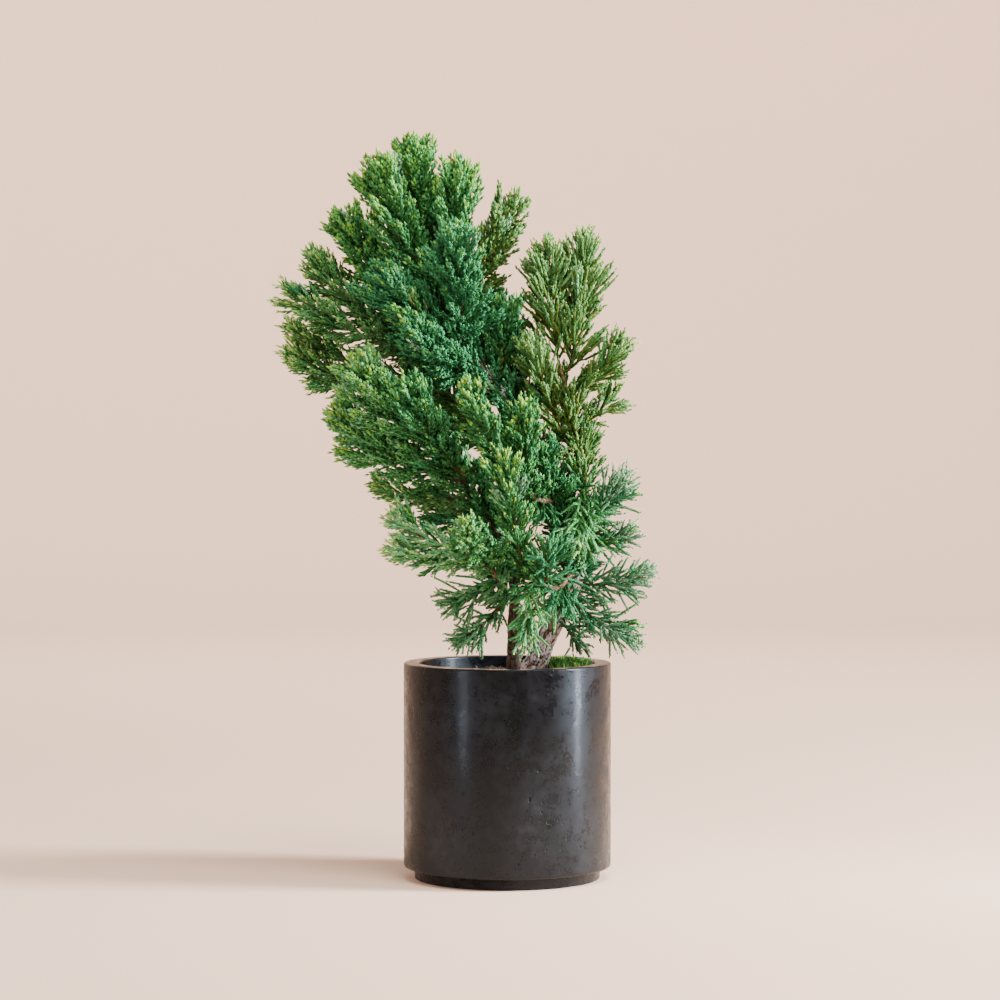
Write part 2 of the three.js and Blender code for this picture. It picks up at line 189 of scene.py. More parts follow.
def turned(profile, facets):
    """A bmesh turned round the Z axis from a profile of (radius, height) points, with its faces outwards."""
    shape = bmesh.new()
    verts = [shape.verts.new((radius, 0, height)) for radius, height in profile]
    edges = [shape.edges.new(pair) for pair in zip(verts, verts[1:])]
    bmesh.ops.spin(
        shape, geom=verts + edges, cent=(0, 0, 0), axis=(0, 0, 1),
        angle=math.tau, steps=facets, use_merge=True,
    )
    bmesh.ops.remove_doubles(shape, verts=shape.verts, dist=MERGE_DISTANCE)
    bmesh.ops.recalc_face_normals(shape, faces=shape.faces)
    return shape


def eased(corner, before, after, radius, steps=4):
    """Points of a corner between two neighbours, rounded off to a radius."""
    corner, before, after = Vector(corner), Vector(before), Vector(after)
    start = corner + (before - corner).normalized() * radius
    end = corner + (after - corner).normalized() * radius
    points = []
    for step in range(steps + 1):
        share = step / steps
        points.append(tuple(start.lerp(corner, share).lerp(corner.lerp(end, share), share)))
    return points


def planter_profile():
    """The planter's section from the middle of its foot to the middle of its floor, with its edges eased."""
    corners = [
        ((0, 0), 0),
        ((FOOT_RADIUS, 0), FOOT_EDGE),
        ((FOOT_RADIUS, FOOT_HEIGHT), 0),
        ((POT_RADIUS, FOOT_HEIGHT), LOWER_EDGE),
        ((POT_RADIUS, POT_HEIGHT), RIM_EDGE),
        ((POT_INNER, POT_HEIGHT), RIM_EDGE),
        ((POT_INNER, POT_FLOOR), 0),
        ((0, POT_FLOOR), 0),
    ]
    profile = []
    for index, (corner, radius) in enumerate(corners):
        if radius:
            profile += eased(corner, corners[index - 1][0], corners[index + 1][0], radius)
        else:
            profile.append(corner)
    return profile


def concrete():
    """Near-black concrete with cloudy paler patches and small air holes, painted darker higher up and paler
    and warmer low down: a painted reflection of the pale floor.
    """
    wax = {"Specular IOR Level": 0.17, "Specular Tint": WAX_TINT, "Coat Weight": 0.08, "Coat Roughness": 0.14}
    finish = Finish("waxed_concrete", wax)
    place = finish.place()
    clouds = finish.noise(place, scale=13, detail=5, roughness=0.6)
    mottle = finish.noise(place, scale=70, detail=6, roughness=0.72)
    grain = finish.noise(place, scale=450, roughness=0.6)
    patch = finish.ramp(finish.noise(place, scale=17, roughness=0.6), (0.46, 0.0), (0.58, 1.0))
    holes = finish.ramp(finish.noise(place, scale=190, roughness=0.6), (0.62, 0.0), (0.67, 1.0)) * patch
    height = finish.node("ShaderNodeSeparateXYZ", inputs={"Vector": place}, output=2) * (1 / POT_HEIGHT)
    # Painted reflection of the floor: the wall's tone is darker the higher it is.
    tone = clouds * 0.6 + mottle * 0.4 - height * 0.12 + 0.05
    colour = finish.ramp(
        tone, (0.36, CONCRETE_DARK), (0.48, CONCRETE_MID), (0.58, CONCRETE_PALE), (0.68, CONCRETE_DUSTY)
    )
    # Painted reflection of the pale floor, in patches: the wall turns paler and warmer low down.
    damp_and_reflection = finish.ramp(height + clouds * 0.5 - 0.25, (0.1, 0.5), (0.75, 0.0))
    finish.feed("Base Color", finish.mix(holes, finish.mix(damp_and_reflection, colour, PAINTED_FLOOR_REFLECTION), AIR_HOLE))
    finish.feed("Roughness", finish.ramp(mottle * 0.7 + grain * 0.3, (0.38, 0.16), (0.6, 0.5)))
    finish.bump(grain * 0.2 + mottle * 0.5 - holes * 0.9, distance=0.5 * MM, strength=0.6)
    return finish.material


planter = mesh_from(turned(planter_profile(), POT_FACETS), "planter")
finish_piece(planter, "planter", [concrete()], ["pot"])


# Soil
# Dark crumbly potting mix, raked level a little below the rim and banked up round the stems.
# Its crumbs lie loose on top.
soil_low, soil_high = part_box("soil")
SOIL_TOP = soil_high.z
SOIL_RADIUS = POT_INNER - 0.3 * MM
SOIL_DEPTH = SOIL_TOP - soil_low.z
SOIL_ROUGHNESS = 1.6 * MM
LUMPS_PER_METRE = 120
LUMP_FRACTAL = (0.8, 2.1, 4)
SOIL_BANK = 2.2 * MM
SOIL_EDGE = 0.9
SOIL_EDGE_DROP = 3 * MM
SOIL_RINGS = 46
SOIL_FACETS = 120
SOIL_DARK = (0.009, 0.006, 0.004, 1)
SOIL_MID = (0.03, 0.019, 0.012, 1)
SOIL_PALE = (0.075, 0.05, 0.032, 1)
CRUMB_COUNT = 900
CRUMB_SIZES = (0.8 * MM, 2.6 * MM)
CRUMB_SEED = 11
CRUMB_RARITY = 3
CRUMB_REACH = SOIL_RADIUS * 0.96
CRUMB_STRETCH = (0.5, 1.5)
CRUMB_LUMPS = (0.8, 1.15)
CRUMB_SEAT = 0.2
# Where each stem stands in the soil, and how far its bank spreads.
STEM_FEET = [(22 * MM, -2 * MM, 19 * MM), (6 * MM, 16 * MM, 13 * MM)]


def soil_height(x, y):
    """The height of the soil's surface: lumps, a bank round each stem and a drop to the wall."""
    lumps = noise.fractal(Vector((x, y, 0)) * LUMPS_PER_METRE, *LUMP_FRACTAL)
    height = SOIL_TOP - SOIL_ROUGHNESS + SOIL_ROUGHNESS * lumps
    for foot_x, foot_y, spread in STEM_FEET:
        height += SOIL_BANK * math.exp(-((x - foot_x) ** 2 + (y - foot_y) ** 2) / spread**2)
    edge = max(0.0, math.hypot(x, y) / SOIL_RADIUS - SOIL_EDGE) / (1 - SOIL_EDGE)
    return height - SOIL_EDGE_DROP * edge**2


def soil_shape():
    """A plug that fills the planter, with its top cut into rings and raised into lumps."""
    rings = [(SOIL_RADIUS * ring / SOIL_RINGS, SOIL_TOP) for ring in range(SOIL_RINGS + 1)]
    bottom = SOIL_TOP - SOIL_DEPTH
    shape = turned([*rings, (SOIL_RADIUS, bottom), (0, bottom)], SOIL_FACETS)
    for vertex in shape.verts:
        if vertex.co.z > SOIL_TOP - SOIL_DEPTH / 2:
            vertex.co.z = soil_height(vertex.co.x, vertex.co.y)
    return shape


def earth():
    """Dark soil with paler crumbs in it and wet patches."""
    finish = Finish("potting_soil")
    place = finish.place()
    crumbs = finish.noise(place, scale=260, detail=5, roughness=0.7)
    damp_and_reflection = finish.noise(place, scale=30, roughness=0.6)
    tone = crumbs * 0.7 + damp_and_reflection * 0.3
    finish.feed("Base Color", finish.ramp(tone, (0.35, SOIL_DARK), (0.52, SOIL_MID), (0.7, SOIL_PALE)))
    finish.feed("Roughness", crumbs * 0.25 + 0.72)
    finish.bump(crumbs, distance=1.2 * MM)
    return finish.material


def scattered_crumbs(count, seed):
    """Loose crumbs: small lumpy stones strewn over the soil, most of them near the smallest size."""
    chance = np.random.default_rng(seed)
    smallest, largest = CRUMB_SIZES
    shape = bmesh.new()
    for _ in range(count):
        reach = CRUMB_REACH * math.sqrt(chance.random())
        turn = math.tau * chance.random()
        x, y = reach * math.cos(turn), reach * math.sin(turn)
        size = smallest + (largest - smallest) * chance.random() ** CRUMB_RARITY
        made = bmesh.ops.create_icosphere(shape, subdivisions=1, radius=size)["verts"]
        stretch = Vector(chance.uniform(*CRUMB_STRETCH, 3))
        for vertex in made:
            vertex.co = vertex.co * stretch * chance.uniform(*CRUMB_LUMPS)
        bmesh.ops.translate(shape, verts=made, vec=(x, y, soil_height(x, y) + size * CRUMB_SEAT))
    return shape


soil_finish = earth()
finish_piece(mesh_from(soil_shape(), "soil_bed"), "soil_bed", [soil_finish], ["soil"])
crumb_mesh = mesh_from(scattered_crumbs(CRUMB_COUNT, CRUMB_SEED), "soil_crumbs")
finish_piece(crumb_mesh, "soil_crumbs", [soil_finish], smooth=False)


# Stems and boughs
# Two living stems and the boughs that leave them, each one tapering limb with a flared foot.
# The bark is fibrous: grey plates that flake along the limb, with red-brown wood in the cracks between.
# Lengths in this section and in the next are in millimetres.
STEM_FOOT = 178.3
FLARE_FADE = 14
TAPER_POWER = 0.85
BOUGH_TIP_RADIUS = 1.8
LEAVING_RUN = 5
ROOT_GAP = 0.5
STEMS = {
    "trunk": {
        "places": [
            (22, -2, STEM_FOOT), (33, -4, 206), (51, -6, 241), (62, -4, 276), (43, 2, 326),
            (24, 4, 384), (-10, 2, 428), (-38, 0, 464), (-58, -2, 515),
        ],
        "radii": (9.2, 2.2), "flare": 3.6,
    },
    "left_stem": {
        "places": [
            (6, 16, STEM_FOOT), (5, 10, 219), (6, 2, 250), (-2, -8, 284), (-19, -20, 315), (-54, -36, 358),
        ],
        "radii": (5.6, 2.2), "flare": 1.6,
    },
}
# Each bough: the stem that it leaves, where along it, a place that it passes, its tip and its radius.
BOUGHS = {
    "right_bough": ("trunk", 0.33, (66, 8, 350), (45, 0, 446), 4.4),
    "mid_left_bough": ("trunk", 0.56, (-30, 34, 404), (-88, 26, 434), 3.4),
    "high_left_bough": ("trunk", 0.77, (-60, 14, 452), (-95, 12, 470), 3),
    "front_bough": ("trunk", 0.43, (26, -34, 330), (6, -60, 346), 3.2),
    "low_left_bough": ("left_stem", 0.36, (-14, -36, 268), (-36, -58, 284), 3),
    "low_front_bough": ("trunk", 0.24, (42, -36, 252), (20, -50, 262), 3),
    "back_bough": ("trunk", 0.4, (26, 44, 344), (-6, 68, 372), 3.4),
}
WIDEST_SHARE = 0.12
FEWEST_SIDES = 10
BARK_STEP = 1.1
BARK_FACET = 0.75
BARK_RELIEF = 0.1
BARK_SEED = 7.3
# How many plates lie in a millimetre, how much longer than wide they are, how they wander and warp,
# and how steeply they rise out of the cracks.
PLATE_SIZE = 0.46
PLATE_LENGTH = 2.8
PLATE_WANDER = 1.4
PLATE_WARP = 0.45
CRACK_SLOPE = 2.8
# The seed that the noise vectors take their offsets from, so that the bark is the same every time.
WARP_SEED = 7
# How much of the relief comes from the plates, from the fibres and from the fine grain.
PLATE_SHARE = 0.62
FIBRE_SHARE = 0.22
GRAIN_SHARE = 0.16
# How pale the bark's plates are at random, and how much paler its right side is painted: painted light, as
# the key light stands on that side.
WEATHER_MIDDLE = 0.82
WEATHER_SPREAD = 0.9
PAINTED_LIGHT_RIGHT = 0.5


def unit(vectors):
    return vectors / np.linalg.norm(vectors, axis=-1, keepdims=True)


def between(first, second, share):
    return first + (second - first) * share


class Curve:
    """A smooth curve through places, walked by its length, like the limbs of the solid part."""

    SAMPLES = 200
    NUDGE = 0.001

    def __init__(self, places):
        points = np.array(places, float)
        ends = [2 * points[0] - points[1], 2 * points[-1] - points[-2]]
        self.points = np.vstack([ends[0], points, ends[1]])
        self.steps = np.linspace(0, 1, self.SAMPLES + 1)
        runs = np.linalg.norm(np.diff(self.point(self.steps), axis=0), axis=1)
        self.walked = np.concatenate([[0], np.cumsum(runs)])
        self.length = self.walked[-1]

    def point(self, step):
        """The place at a step from 0 to 1, even between the given places."""
        spans = len(self.points) - 3
        span = np.minimum((np.asarray(step) * spans).astype(int), spans - 1)
        t = (np.asarray(step) * spans - span)[..., None]
        x0, x1, x2, x3 = (self.points[span + offset] for offset in range(4))
        gaps = (x1 - x0, x2 - x1, x3 - x2)
        d0, d1, d2 = (np.linalg.norm(gap, axis=-1, keepdims=True) ** 0.5 for gap in gaps)
        start = ((x1 - x0) / d0 - (x2 - x0) / (d0 + d1) + (x2 - x1) / d1) * d1
        end = ((x2 - x1) / d1 - (x3 - x1) / (d1 + d2) + (x3 - x2) / d2) * d1
        square = 3 * (x2 - x1) - 2 * start - end
        cube = 2 * (x1 - x2) + start + end
        return x1 + start * t + square * t**2 + cube * t**3

    def at(self, share):
        """The place at a share of the curve's length."""
        return self.point(np.interp(np.asarray(share) * self.length, self.walked, self.steps))

    def along(self, share):
        """The direction in which the curve runs at a share of its length."""
        share = np.asarray(share)
        return unit(self.at(np.minimum(share + self.NUDGE, 1)) - self.at(np.maximum(share - self.NUDGE, 0)))


def steady_reference(curve):
    """The coordinate axis that lies most nearly square to a limb."""
    run = np.abs(curve.at(1.0) - curve.at(0.0))
    return np.eye(3)[np.argmin(run)]


def square_to(vectors, directions):
    """The part of each vector that is square to its direction, at unit length."""
    return unit(vectors - directions * np.sum(vectors * directions, axis=-1, keepdims=True))


class Limb:
    """A stem or bough: its curve, its thickness and the direction that its foot faces."""

    def __init__(self, places, radii, power, flare, foot_direction):
        self.curve = Curve(places)
        self.radii, self.power, self.flare = radii, power, flare
        self.foot_direction = np.array(foot_direction, float)

    def radius(self, share):
        taper = between(*self.radii, np.asarray(share) ** self.power)
        return taper + self.flare * np.exp(-np.asarray(share) * self.curve.length / FLARE_FADE)


def leaving_place(limb, share, tip):
    """Where a bough or plume leaves its limb, and the direction that it sets out in."""
    centre, along = limb.curve.at(share), limb.curve.along(share)
    if share == 1:
        return centre + along * ROOT_GAP, along
    outward = square_to(np.array(tip, float) - centre, along)
    return centre + outward * (limb.radius(share) + ROOT_GAP), outward


limbs = {}
for stem_name, stem in STEMS.items():
    limbs[stem_name] = Limb(stem["places"], stem["radii"], TAPER_POWER, stem["flare"], (0, 0, 1))
for bough_name, (bearer, share, past, tip, radius) in BOUGHS.items():
    start, outward = leaving_place(limbs[bearer], share, past)
    places = [start, start + outward * LEAVING_RUN, past, tip]
    limbs[bough_name] = Limb(places, (radius, BOUGH_TIP_RADIUS), 1, 0, outward)


def bark_height(angle, walked, radius, seed):
    """How far the bark stands out, from 0 in a crack to 1 on a plate, and how far weathering pales it there,
    at random.
    """
    x, y = math.cos(angle) * radius, math.sin(angle) * radius
    wander = noise.noise(Vector((x, y, walked * 0.4)) * 0.12 + Vector((seed, 0, 0))) * PLATE_WANDER
    cell = Vector((x, y, walked / PLATE_LENGTH + wander)) * PLATE_SIZE + Vector((seed, seed, 0))
    cell += noise.noise_vector(cell * 1.7) * PLATE_WARP
    near, far = noise.voronoi(cell)[0][:2]
    plate = min(1.0, (far - near) * CRACK_SLOPE)
    fibre = noise.noise(Vector((x * 1.6, y * 1.6, walked * 0.16 + seed)))
    grain = noise.noise(Vector((x * 4, y * 4, walked * 0.5 + seed)))
    pale_plate_share = noise.noise(Vector((x, y, walked * 0.5)) * 0.16 + Vector((0, seed, 3)))
    height = PLATE_SHARE * plate + FIBRE_SHARE * fibre + GRAIN_SHARE * grain
    return height, WEATHER_MIDDLE + WEATHER_SPREAD * pale_plate_share


def limb_shape(limb, seed):
    """A limb's skin: a drum laid along its curve and cut into rings, with the bark pushed out of it."""
    curve = limb.curve
    sides = max(FEWEST_SIDES, round(math.tau * float(limb.radius(WIDEST_SHARE)) / BARK_FACET))
    rings = round(curve.length / BARK_STEP)
    shape = bmesh.new()
    bmesh.ops.create_cone(shape, cap_ends=True, segments=sides, radius1=1, radius2=1, depth=1)
    uprights = [edge for edge in shape.edges if abs(edge.verts[0].co.z - edge.verts[1].co.z) > 0.5]
    bmesh.ops.subdivide_edges(shape, edges=uprights, cuts=rings - 1)
    shares = np.linspace(0, 1, rings + 1)
    centres, directions, radii = curve.at(shares), curve.along(shares), limb.radius(shares)
    directions[0] = limb.foot_direction
    across = square_to(np.broadcast_to(steady_reference(curve), directions.shape), directions)
    up = np.cross(directions, across)
    plate_layer = shape.verts.layers.float.new("plate")
    weather_and_light_layer = shape.verts.layers.float.new("weathered")
    for vertex in shape.verts:
        ring = round((vertex.co.z + 0.5) * rings)
        angle = math.atan2(vertex.co.y, vertex.co.x)
        height, weathered = bark_height(angle, shares[ring] * curve.length, radii[ring], seed)
        outward = across[ring] * math.cos(angle) + up[ring] * math.sin(angle)
        radius = radii[ring] * (1 + BARK_RELIEF * 2 * (height - 0.5))
        vertex.co = Vector((centres[ring] + outward * radius) * MM)
        vertex[plate_layer] = height
        # The right side is painted paler: painted light from the key light's side.
        vertex[weather_and_light_layer] = weathered + PAINTED_LIGHT_RIGHT * outward[0]
    return shape


def bark(name, crack, wood, plate_colour):
    """Bark: dark cracks, red-brown fibres and paler plates, which show where the bark weathers and, as
    painted light, on its right side.
    """
    finish = Finish(name)
    plate = finish.node("ShaderNodeAttribute", {"attribute_name": "plate"}, output="Fac")
    weathered = finish.node("ShaderNodeAttribute", {"attribute_name": "weathered"}, output="Fac")
    place = finish.place()
    fleck = finish.noise(place, scale=900, detail=4, roughness=0.65)
    fibre = finish.noise(finish.place((1, 1, 0.25)), scale=520, roughness=0.6)
    # Pale plates show with weathering and with the painted light on the limb's right side.
    pale_plate_share = finish.ramp(weathered + fleck * 0.5 - 0.25, (0.3, 0.0), (0.56, 1.0))
    depth = finish.ramp(plate + fibre * 0.3 - 0.15, (0.1, 0.0), (0.38, 1.0))
    finish.feed("Base Color", finish.mix(depth, crack, finish.mix(pale_plate_share, wood, plate_colour)))
    finish.feed("Roughness", fleck * 0.25 + 0.62)
    finish.bump(fibre * 0.7 + fleck * 0.5, distance=0.5 * MM, strength=0.8)
    return finish.material


old_bark = bark("trunk_bark", (0.022, 0.014, 0.012, 1), (0.21, 0.125, 0.095, 1), (0.68, 0.63, 0.68, 1))
# The left stem's bark is painted dark: painted shade for a stem that stands in the crown's shade.
shaded_bark = bark("shaded_stem_bark", (0.012, 0.008, 0.006, 1), (0.06, 0.03, 0.019, 1), (0.13, 0.1, 0.085, 1))
young_bark = bark("bough_bark", (0.028, 0.015, 0.009, 1), (0.15, 0.075, 0.03, 1), (0.2, 0.14, 0.08, 1))
green_bark = bark("green_bough_bark", (0.03, 0.022, 0.008, 1), (0.13, 0.095, 0.028, 1), (0.2, 0.17, 0.055, 1))
LIMB_FINISHES = {"trunk": old_bark, "left_stem": shaded_bark, "right_bough": green_bark}
noise.seed_set(WARP_SEED)
for limb_index, (limb_name, limb) in enumerate(limbs.items()):
    skin = mesh_from(limb_shape(limb, BARK_SEED * (limb_index + 1)), limb_name + "_bark")
    finish_piece(skin, limb_name + "_bark", [LIMB_FINISHES.get(limb_name, young_bark)], [limb_name])


# Foliage
# Each plume is a thin woody stem with shoots in a spiral, and each shoot bears cords of tiny scale leaves.
# Short leafy spurs stand off the cords and point forward, blunt at their ends and palest there.
# These values are those of the solid part's own rule.
SAG = 0.09
TWIG_RADIUS = 2.3
TWIG_RADIUS_GAIN = 0.004
BARE_SHARE = 0.2
SHOOT_SPACING = 8.2
GOLDEN_ANGLE = math.radians(137.5)
ROLL_SPREAD = 0.5
WIDE_ANGLE = math.radians(46)
NARROW_ANGLE = math.radians(24)
ANGLE_SPREAD = (0.9, 1.1)
REACH_SPREAD = (0.85, 1.1)
WIDTH_PHASES = (0.15, 0.91)
PAST_TIP = 1.12
SHORTENINGS = (1, 0.75, 0.55)
SHORTEST_SHOOT = 9
PROBES = np.array([[0.7], [1.0]])
END_SHOOT_SHARE = 0.26
END_SHOOT_LENGTHS = (12, 27)
ROOT_DEPTH = 3
SPACE_MARGIN = 1.3
LIMB_MARGIN = 0.9
LIMB_WIDTH_SHARE = 0.1
FOLIAGE_FLOOR = 193
AXIS_SAMPLES = 14
SEED_STEP = 7919
FOLIAGE_SEED = 2024

# Each plume: the limb that it leaves, where along it, the plume's tip, how far its shoots reach, and its tone
# and habit. Their order is that of the solid part's masses, which sets their seeds.
REGIONS = {
    "top": {
        "top_spire": ("trunk", 1, (-86, 0, 644), 33, "fresh", "bushy"),
        "top_right_spire": ("trunk", 0.97, (-43, -24, 626), 30, "fresh", "bushy"),
        "left_shoulder": ("trunk", 0.935, (-112, -30, 624), 32, "fresh", "bushy"),
        "left_wing": ("trunk", 0.9, (-151, 18, 582), 27, "fresh", "bushy"),
        "right_arm": ("trunk", 0.925, (10, 4, 598), 25, "olive", "bushy"),
        "front_cascade": ("trunk", 0.86, (-48, -70, 562), 33, "blue", "bushy"),
        "front_left_plume": ("trunk", 0.8, (-113, -56, 531), 32, "blue", "bushy"),
        "mid_front_plume": ("trunk", 0.74, (-88, -76, 480), 30, "blue", "bushy"),
        "right_low_plume": ("trunk", 0.72, (-8, 2, 504), 25, "deep", "bushy"),
    },
    "back_top": {
        "back_top": ("trunk", 0.88, (-72, 54, 588), 36, "deep", "bushy"),
        "back_left": ("trunk", 0.79, (-115, 72, 515), 36, "deep", "bushy"),
        "back_upper_right": ("trunk", 0.68, (-14, 60, 514), 33, "deep", "bushy"),
    },
    "left": {
        "high_left_plume": ("high_left_bough", 1, (-176, 14, 548), 30, "green", "feathery"),
        "high_left_lower": ("high_left_bough", 0.9, (-196, -4, 516), 28, "green", "feathery"),
        "mid_left_plume": ("mid_left_bough", 1, (-198, 28, 483), 27, "green", "feathery"),
        "mid_left_lower": ("mid_left_bough", 0.9, (-198, 10, 461), 27, "green", "feathery"),
        "bright_left_top": ("left_stem", 1, (-131, -66, 453), 32, "bright", "bushy"),
        "bright_left_low": ("left_stem", 0.96, (-153, -36, 411), 32, "bright", "bushy"),
        "centre_left_plume": ("left_stem", 0.9, (-90, -86, 434), 28, "deep", "bushy"),
        "under_left": ("left_stem", 0.84, (-120, -14, 345), 22, "green", "feathery"),
    },
    "low_left": {
        "lower_left_plume": ("low_left_bough", 1, (-101, -58, 319), 26, "pale", "feathery"),
        "facing_tuft": ("low_left_bough", 0.93, (-37, -110, 314), 21, "bright", "bushy"),
        "low_left_plume": ("low_left_bough", 0.85, (-101, -66, 294), 22, "pale", "feathery"),
        "back_lower_left": ("left_stem", 0.66, (-74, 44, 336), 32, "deep", "feathery"),
        "bottom_left_spray": ("left_stem", 0.42, (-64, -26, 240), 21, "frosty", "sparse"),
        "drooping_left_spray": ("left_stem", 0.32, (-52, -42, 205), 18, "frosty", "sparse"),
    },
    "front": {
        "bright_front_left": ("front_bough", 1, (-36, -80, 431), 22, "tipped", "bushy"),
        "bright_front_right": ("front_bough", 0.85, (16, -62, 417), 24, "tipped", "bushy"),
        "centre_plume": ("low_front_bough", 1, (-3, -92, 371), 27, "tipped", "feathery"),
        "front_skirt": ("low_front_bough", 0.8, (34, -74, 299), 24, "blue", "corded"),
        "front_drooping": ("low_front_bough", 0.92, (12, -58, 199), 18, "soft", "corded"),
        "centre_right_plume": ("trunk", 0.47, (26, -34, 376), 24, "deep", "feathery"),
    },
    "right": {
        "right_plume_left": ("right_bough", 1, (33, -8, 559), 27, "olive", "strung"),
        "right_plume_right": ("right_bough", 0.95, (68, 8, 565), 28, "olive", "strung"),
        "right_side_plume": ("right_bough", 0.8, (101, -10, 472), 22, "olive", "strung"),
        "right_side_low": ("right_bough", 0.64, (97, 10, 428), 21, "olive", "strung"),
        "right_inner_plume": ("right_bough", 0.55, (15, -18, 475), 24, "olive", "strung"),
    },
    "low_right": {
        "right_drooping": ("right_bough", 0.3, (60, -48, 282), 22, "soft", "corded"),
        "right_fan_up": ("trunk", 0.36, (106, -20, 354), 22, "bloomy", "corded"),
        "right_fan_side": ("trunk", 0.31, (113, -8, 304), 24, "bloomy", "corded"),
        "right_long_spray": ("trunk", 0.235, (126, -14, 270), 22, "bloomy", "corded"),
        "right_low_spray": ("trunk", 0.18, (116, -22, 209), 22, "bloomy", "corded"),
        "right_foot_spray": ("trunk", 0.13, (71, -26, 197), 20, "bloomy", "corded"),
    },
    "back": {
        "back_mid": ("back_bough", 1, (-80, 88, 425), 38, "green", "bushy"),
        "back_centre": ("back_bough", 0.85, (1, 92, 428), 34, "green", "bushy"),
        "back_low": ("back_bough", 0.6, (-26, 94, 302), 33, "green", "feathery"),
        "back_right_low": ("trunk", 0.38, (91, 56, 333), 28, "blue", "feathery"),
    },
}

# How each habit carries the rule on, with more shoots on a plume, cords on a shoot, and spurs on both.
# Angles are degrees from the parent twig, wide at its foot and narrow near its end. A fill reach is a share
# of the plume's reach, and a cord reach is one of the shoot's length. The lift turns the shoots on bare limbs
# up or down.
HABITS = {
    "bushy": {
        "fill_spacing": 3.0, "shoot_curl": 0.2, "fill_reach": 1.25, "lift": 0.3,
        "cord_spacing": 4.6, "cord_reach": 0.3, "cord": (10, 20), "cord_radius": 1.05,
        "cord_wide": 28, "cord_narrow": 13, "curl": 0.4,
        "spur_spacing": 2.2, "spur_bare": 0.1, "spur": (5.0, 8.0), "spur_radius": 1.35,
        "spur_wide": 24, "spur_narrow": 11,
    },
    "feathery": {
        "fill_spacing": 3.2, "shoot_curl": 0.1, "fill_reach": 0.72, "lift": 0.2,
        "cord_spacing": 4.0, "cord_reach": 0.36, "cord": (11, 24), "cord_radius": 1.0,
        "cord_wide": 26, "cord_narrow": 12, "curl": 0.35,
        "spur_spacing": 2.1, "spur_bare": 0.2, "spur": (5.0, 7.6), "spur_radius": 0.98,
        "spur_wide": 22, "spur_narrow": 10,
    },
    "strung": {
        "fill_spacing": 3.0, "shoot_curl": 0.1, "fill_reach": 1.2, "lift": 0.3,
        "cord_spacing": 4.2, "cord_reach": 0.5, "cord": (13, 32), "cord_radius": 1.25,
        "cord_wide": 28, "cord_narrow": 14, "curl": 0.4,
        "spur_spacing": 2.2, "spur_bare": 0.1, "spur": (3.4, 5.2), "spur_radius": 1.0,
        "spur_wide": 25, "spur_narrow": 12,
    },
    "corded": {
        "fill_spacing": 2.7, "shoot_curl": 0.1, "fill_reach": 1.35, "lift": -0.6,
        "cord_spacing": 4.8, "cord_reach": 0.8, "cord": (14, 38), "cord_radius": 1.15,
        "cord_wide": 42, "cord_narrow": 28, "curl": 0.16,
        "spur_spacing": 2.0, "spur_bare": 0.08, "spur": (2.8, 4.0), "spur_radius": 0.95,
        "spur_wide": 24, "spur_narrow": 12,
    },
}
# The lowest sprays on the left are corded ones with fewer shoots.
HABITS["sparse"] = {**HABITS["corded"], "fill_spacing": 3.6, "fill_reach": 1.1}

# The places of the rings along each kind of twig, and how thick it is at them.
AXIS_RINGS = 22
SHOOT_PLACES = (0.0, 0.05, 0.2, 0.4, 0.6, 0.8, 0.95, 1.0)
SHOOT_RADII = (0.0, 1.3, 1.25, 1.2, 1.1, 1.05, 0.95, 0.0)
CORD_PLACES = (0.0, 0.3, 0.65, 0.93, 1.0)
CORD_SHARES = (0.3, 0.95, 1.0, 0.9, 0.0)
SPUR_PLACES = (0.0, 0.58, 1.0)
SPUR_SHARES = (0.0, 1.0, 0.0)
TWIG_SIDES = 6
SHOOT_SIDES = 4
CORD_SIDES = 3
TWIG_SHARE = 0.5
TWIG_TIP_RADIUS = 0.95
TWIG_END = 0.97

# Where spurs end a shoot, how short a cut may leave it, and where cords begin and how short the last are.
TIP_CUT = 8
LEAST_LEFT = 0.7
CORD_BARE = 0.08
STUNTED_CORD = 0.6
TWIG_FLOOR = 189

# The shoots that fill a plume: where they stand on it, their angles, and how much of its reach and of the
# room before its tip they take up.
FILL_SEED = 104729
FILL_BARE = 0.02
FILL_END = 0.95
FILL_ANGLES = (math.radians(44), math.radians(20))
LEAST_FILL_REACH = 0.5
FILL_ROOM = (0.55, 1.0)

# Bare stretches of limb that bear shoots of their own, from one share of the limb's length to another.
LIMB_STRETCHES = {
    "top": {"trunk": (0.62, 1.0)},
    "back_top": {},
    "left": {"high_left_bough": (0.15, 1.0), "mid_left_bough": (0.15, 1.0), "left_stem": (0.6, 1.0)},
    "low_left": {"low_left_bough": (0.12, 1.0), "left_stem": (0.32, 0.6)},
    "front": {"front_bough": (0.1, 1.0), "low_front_bough": (0.12, 1.0), "trunk": (0.34, 0.62)},
    "right": {"right_bough": (0.22, 0.84)},
    "low_right": {"trunk": (0.13, 0.36), "right_bough": (0.0, 0.22)},
    "back": {"back_bough": (0.2, 1.0), "trunk": (0.2, 0.44)},
}
LIMB_SHOOT_SPACING = 1.5
LIMB_SHOOT_LENGTHS = (20, 44)
LIMB_SHOOT_ANGLES = (math.radians(35), math.radians(75))
LIMB_SHOOT_ROOM = 2.2
LIMB_SHOOT_PLACE = 0.2

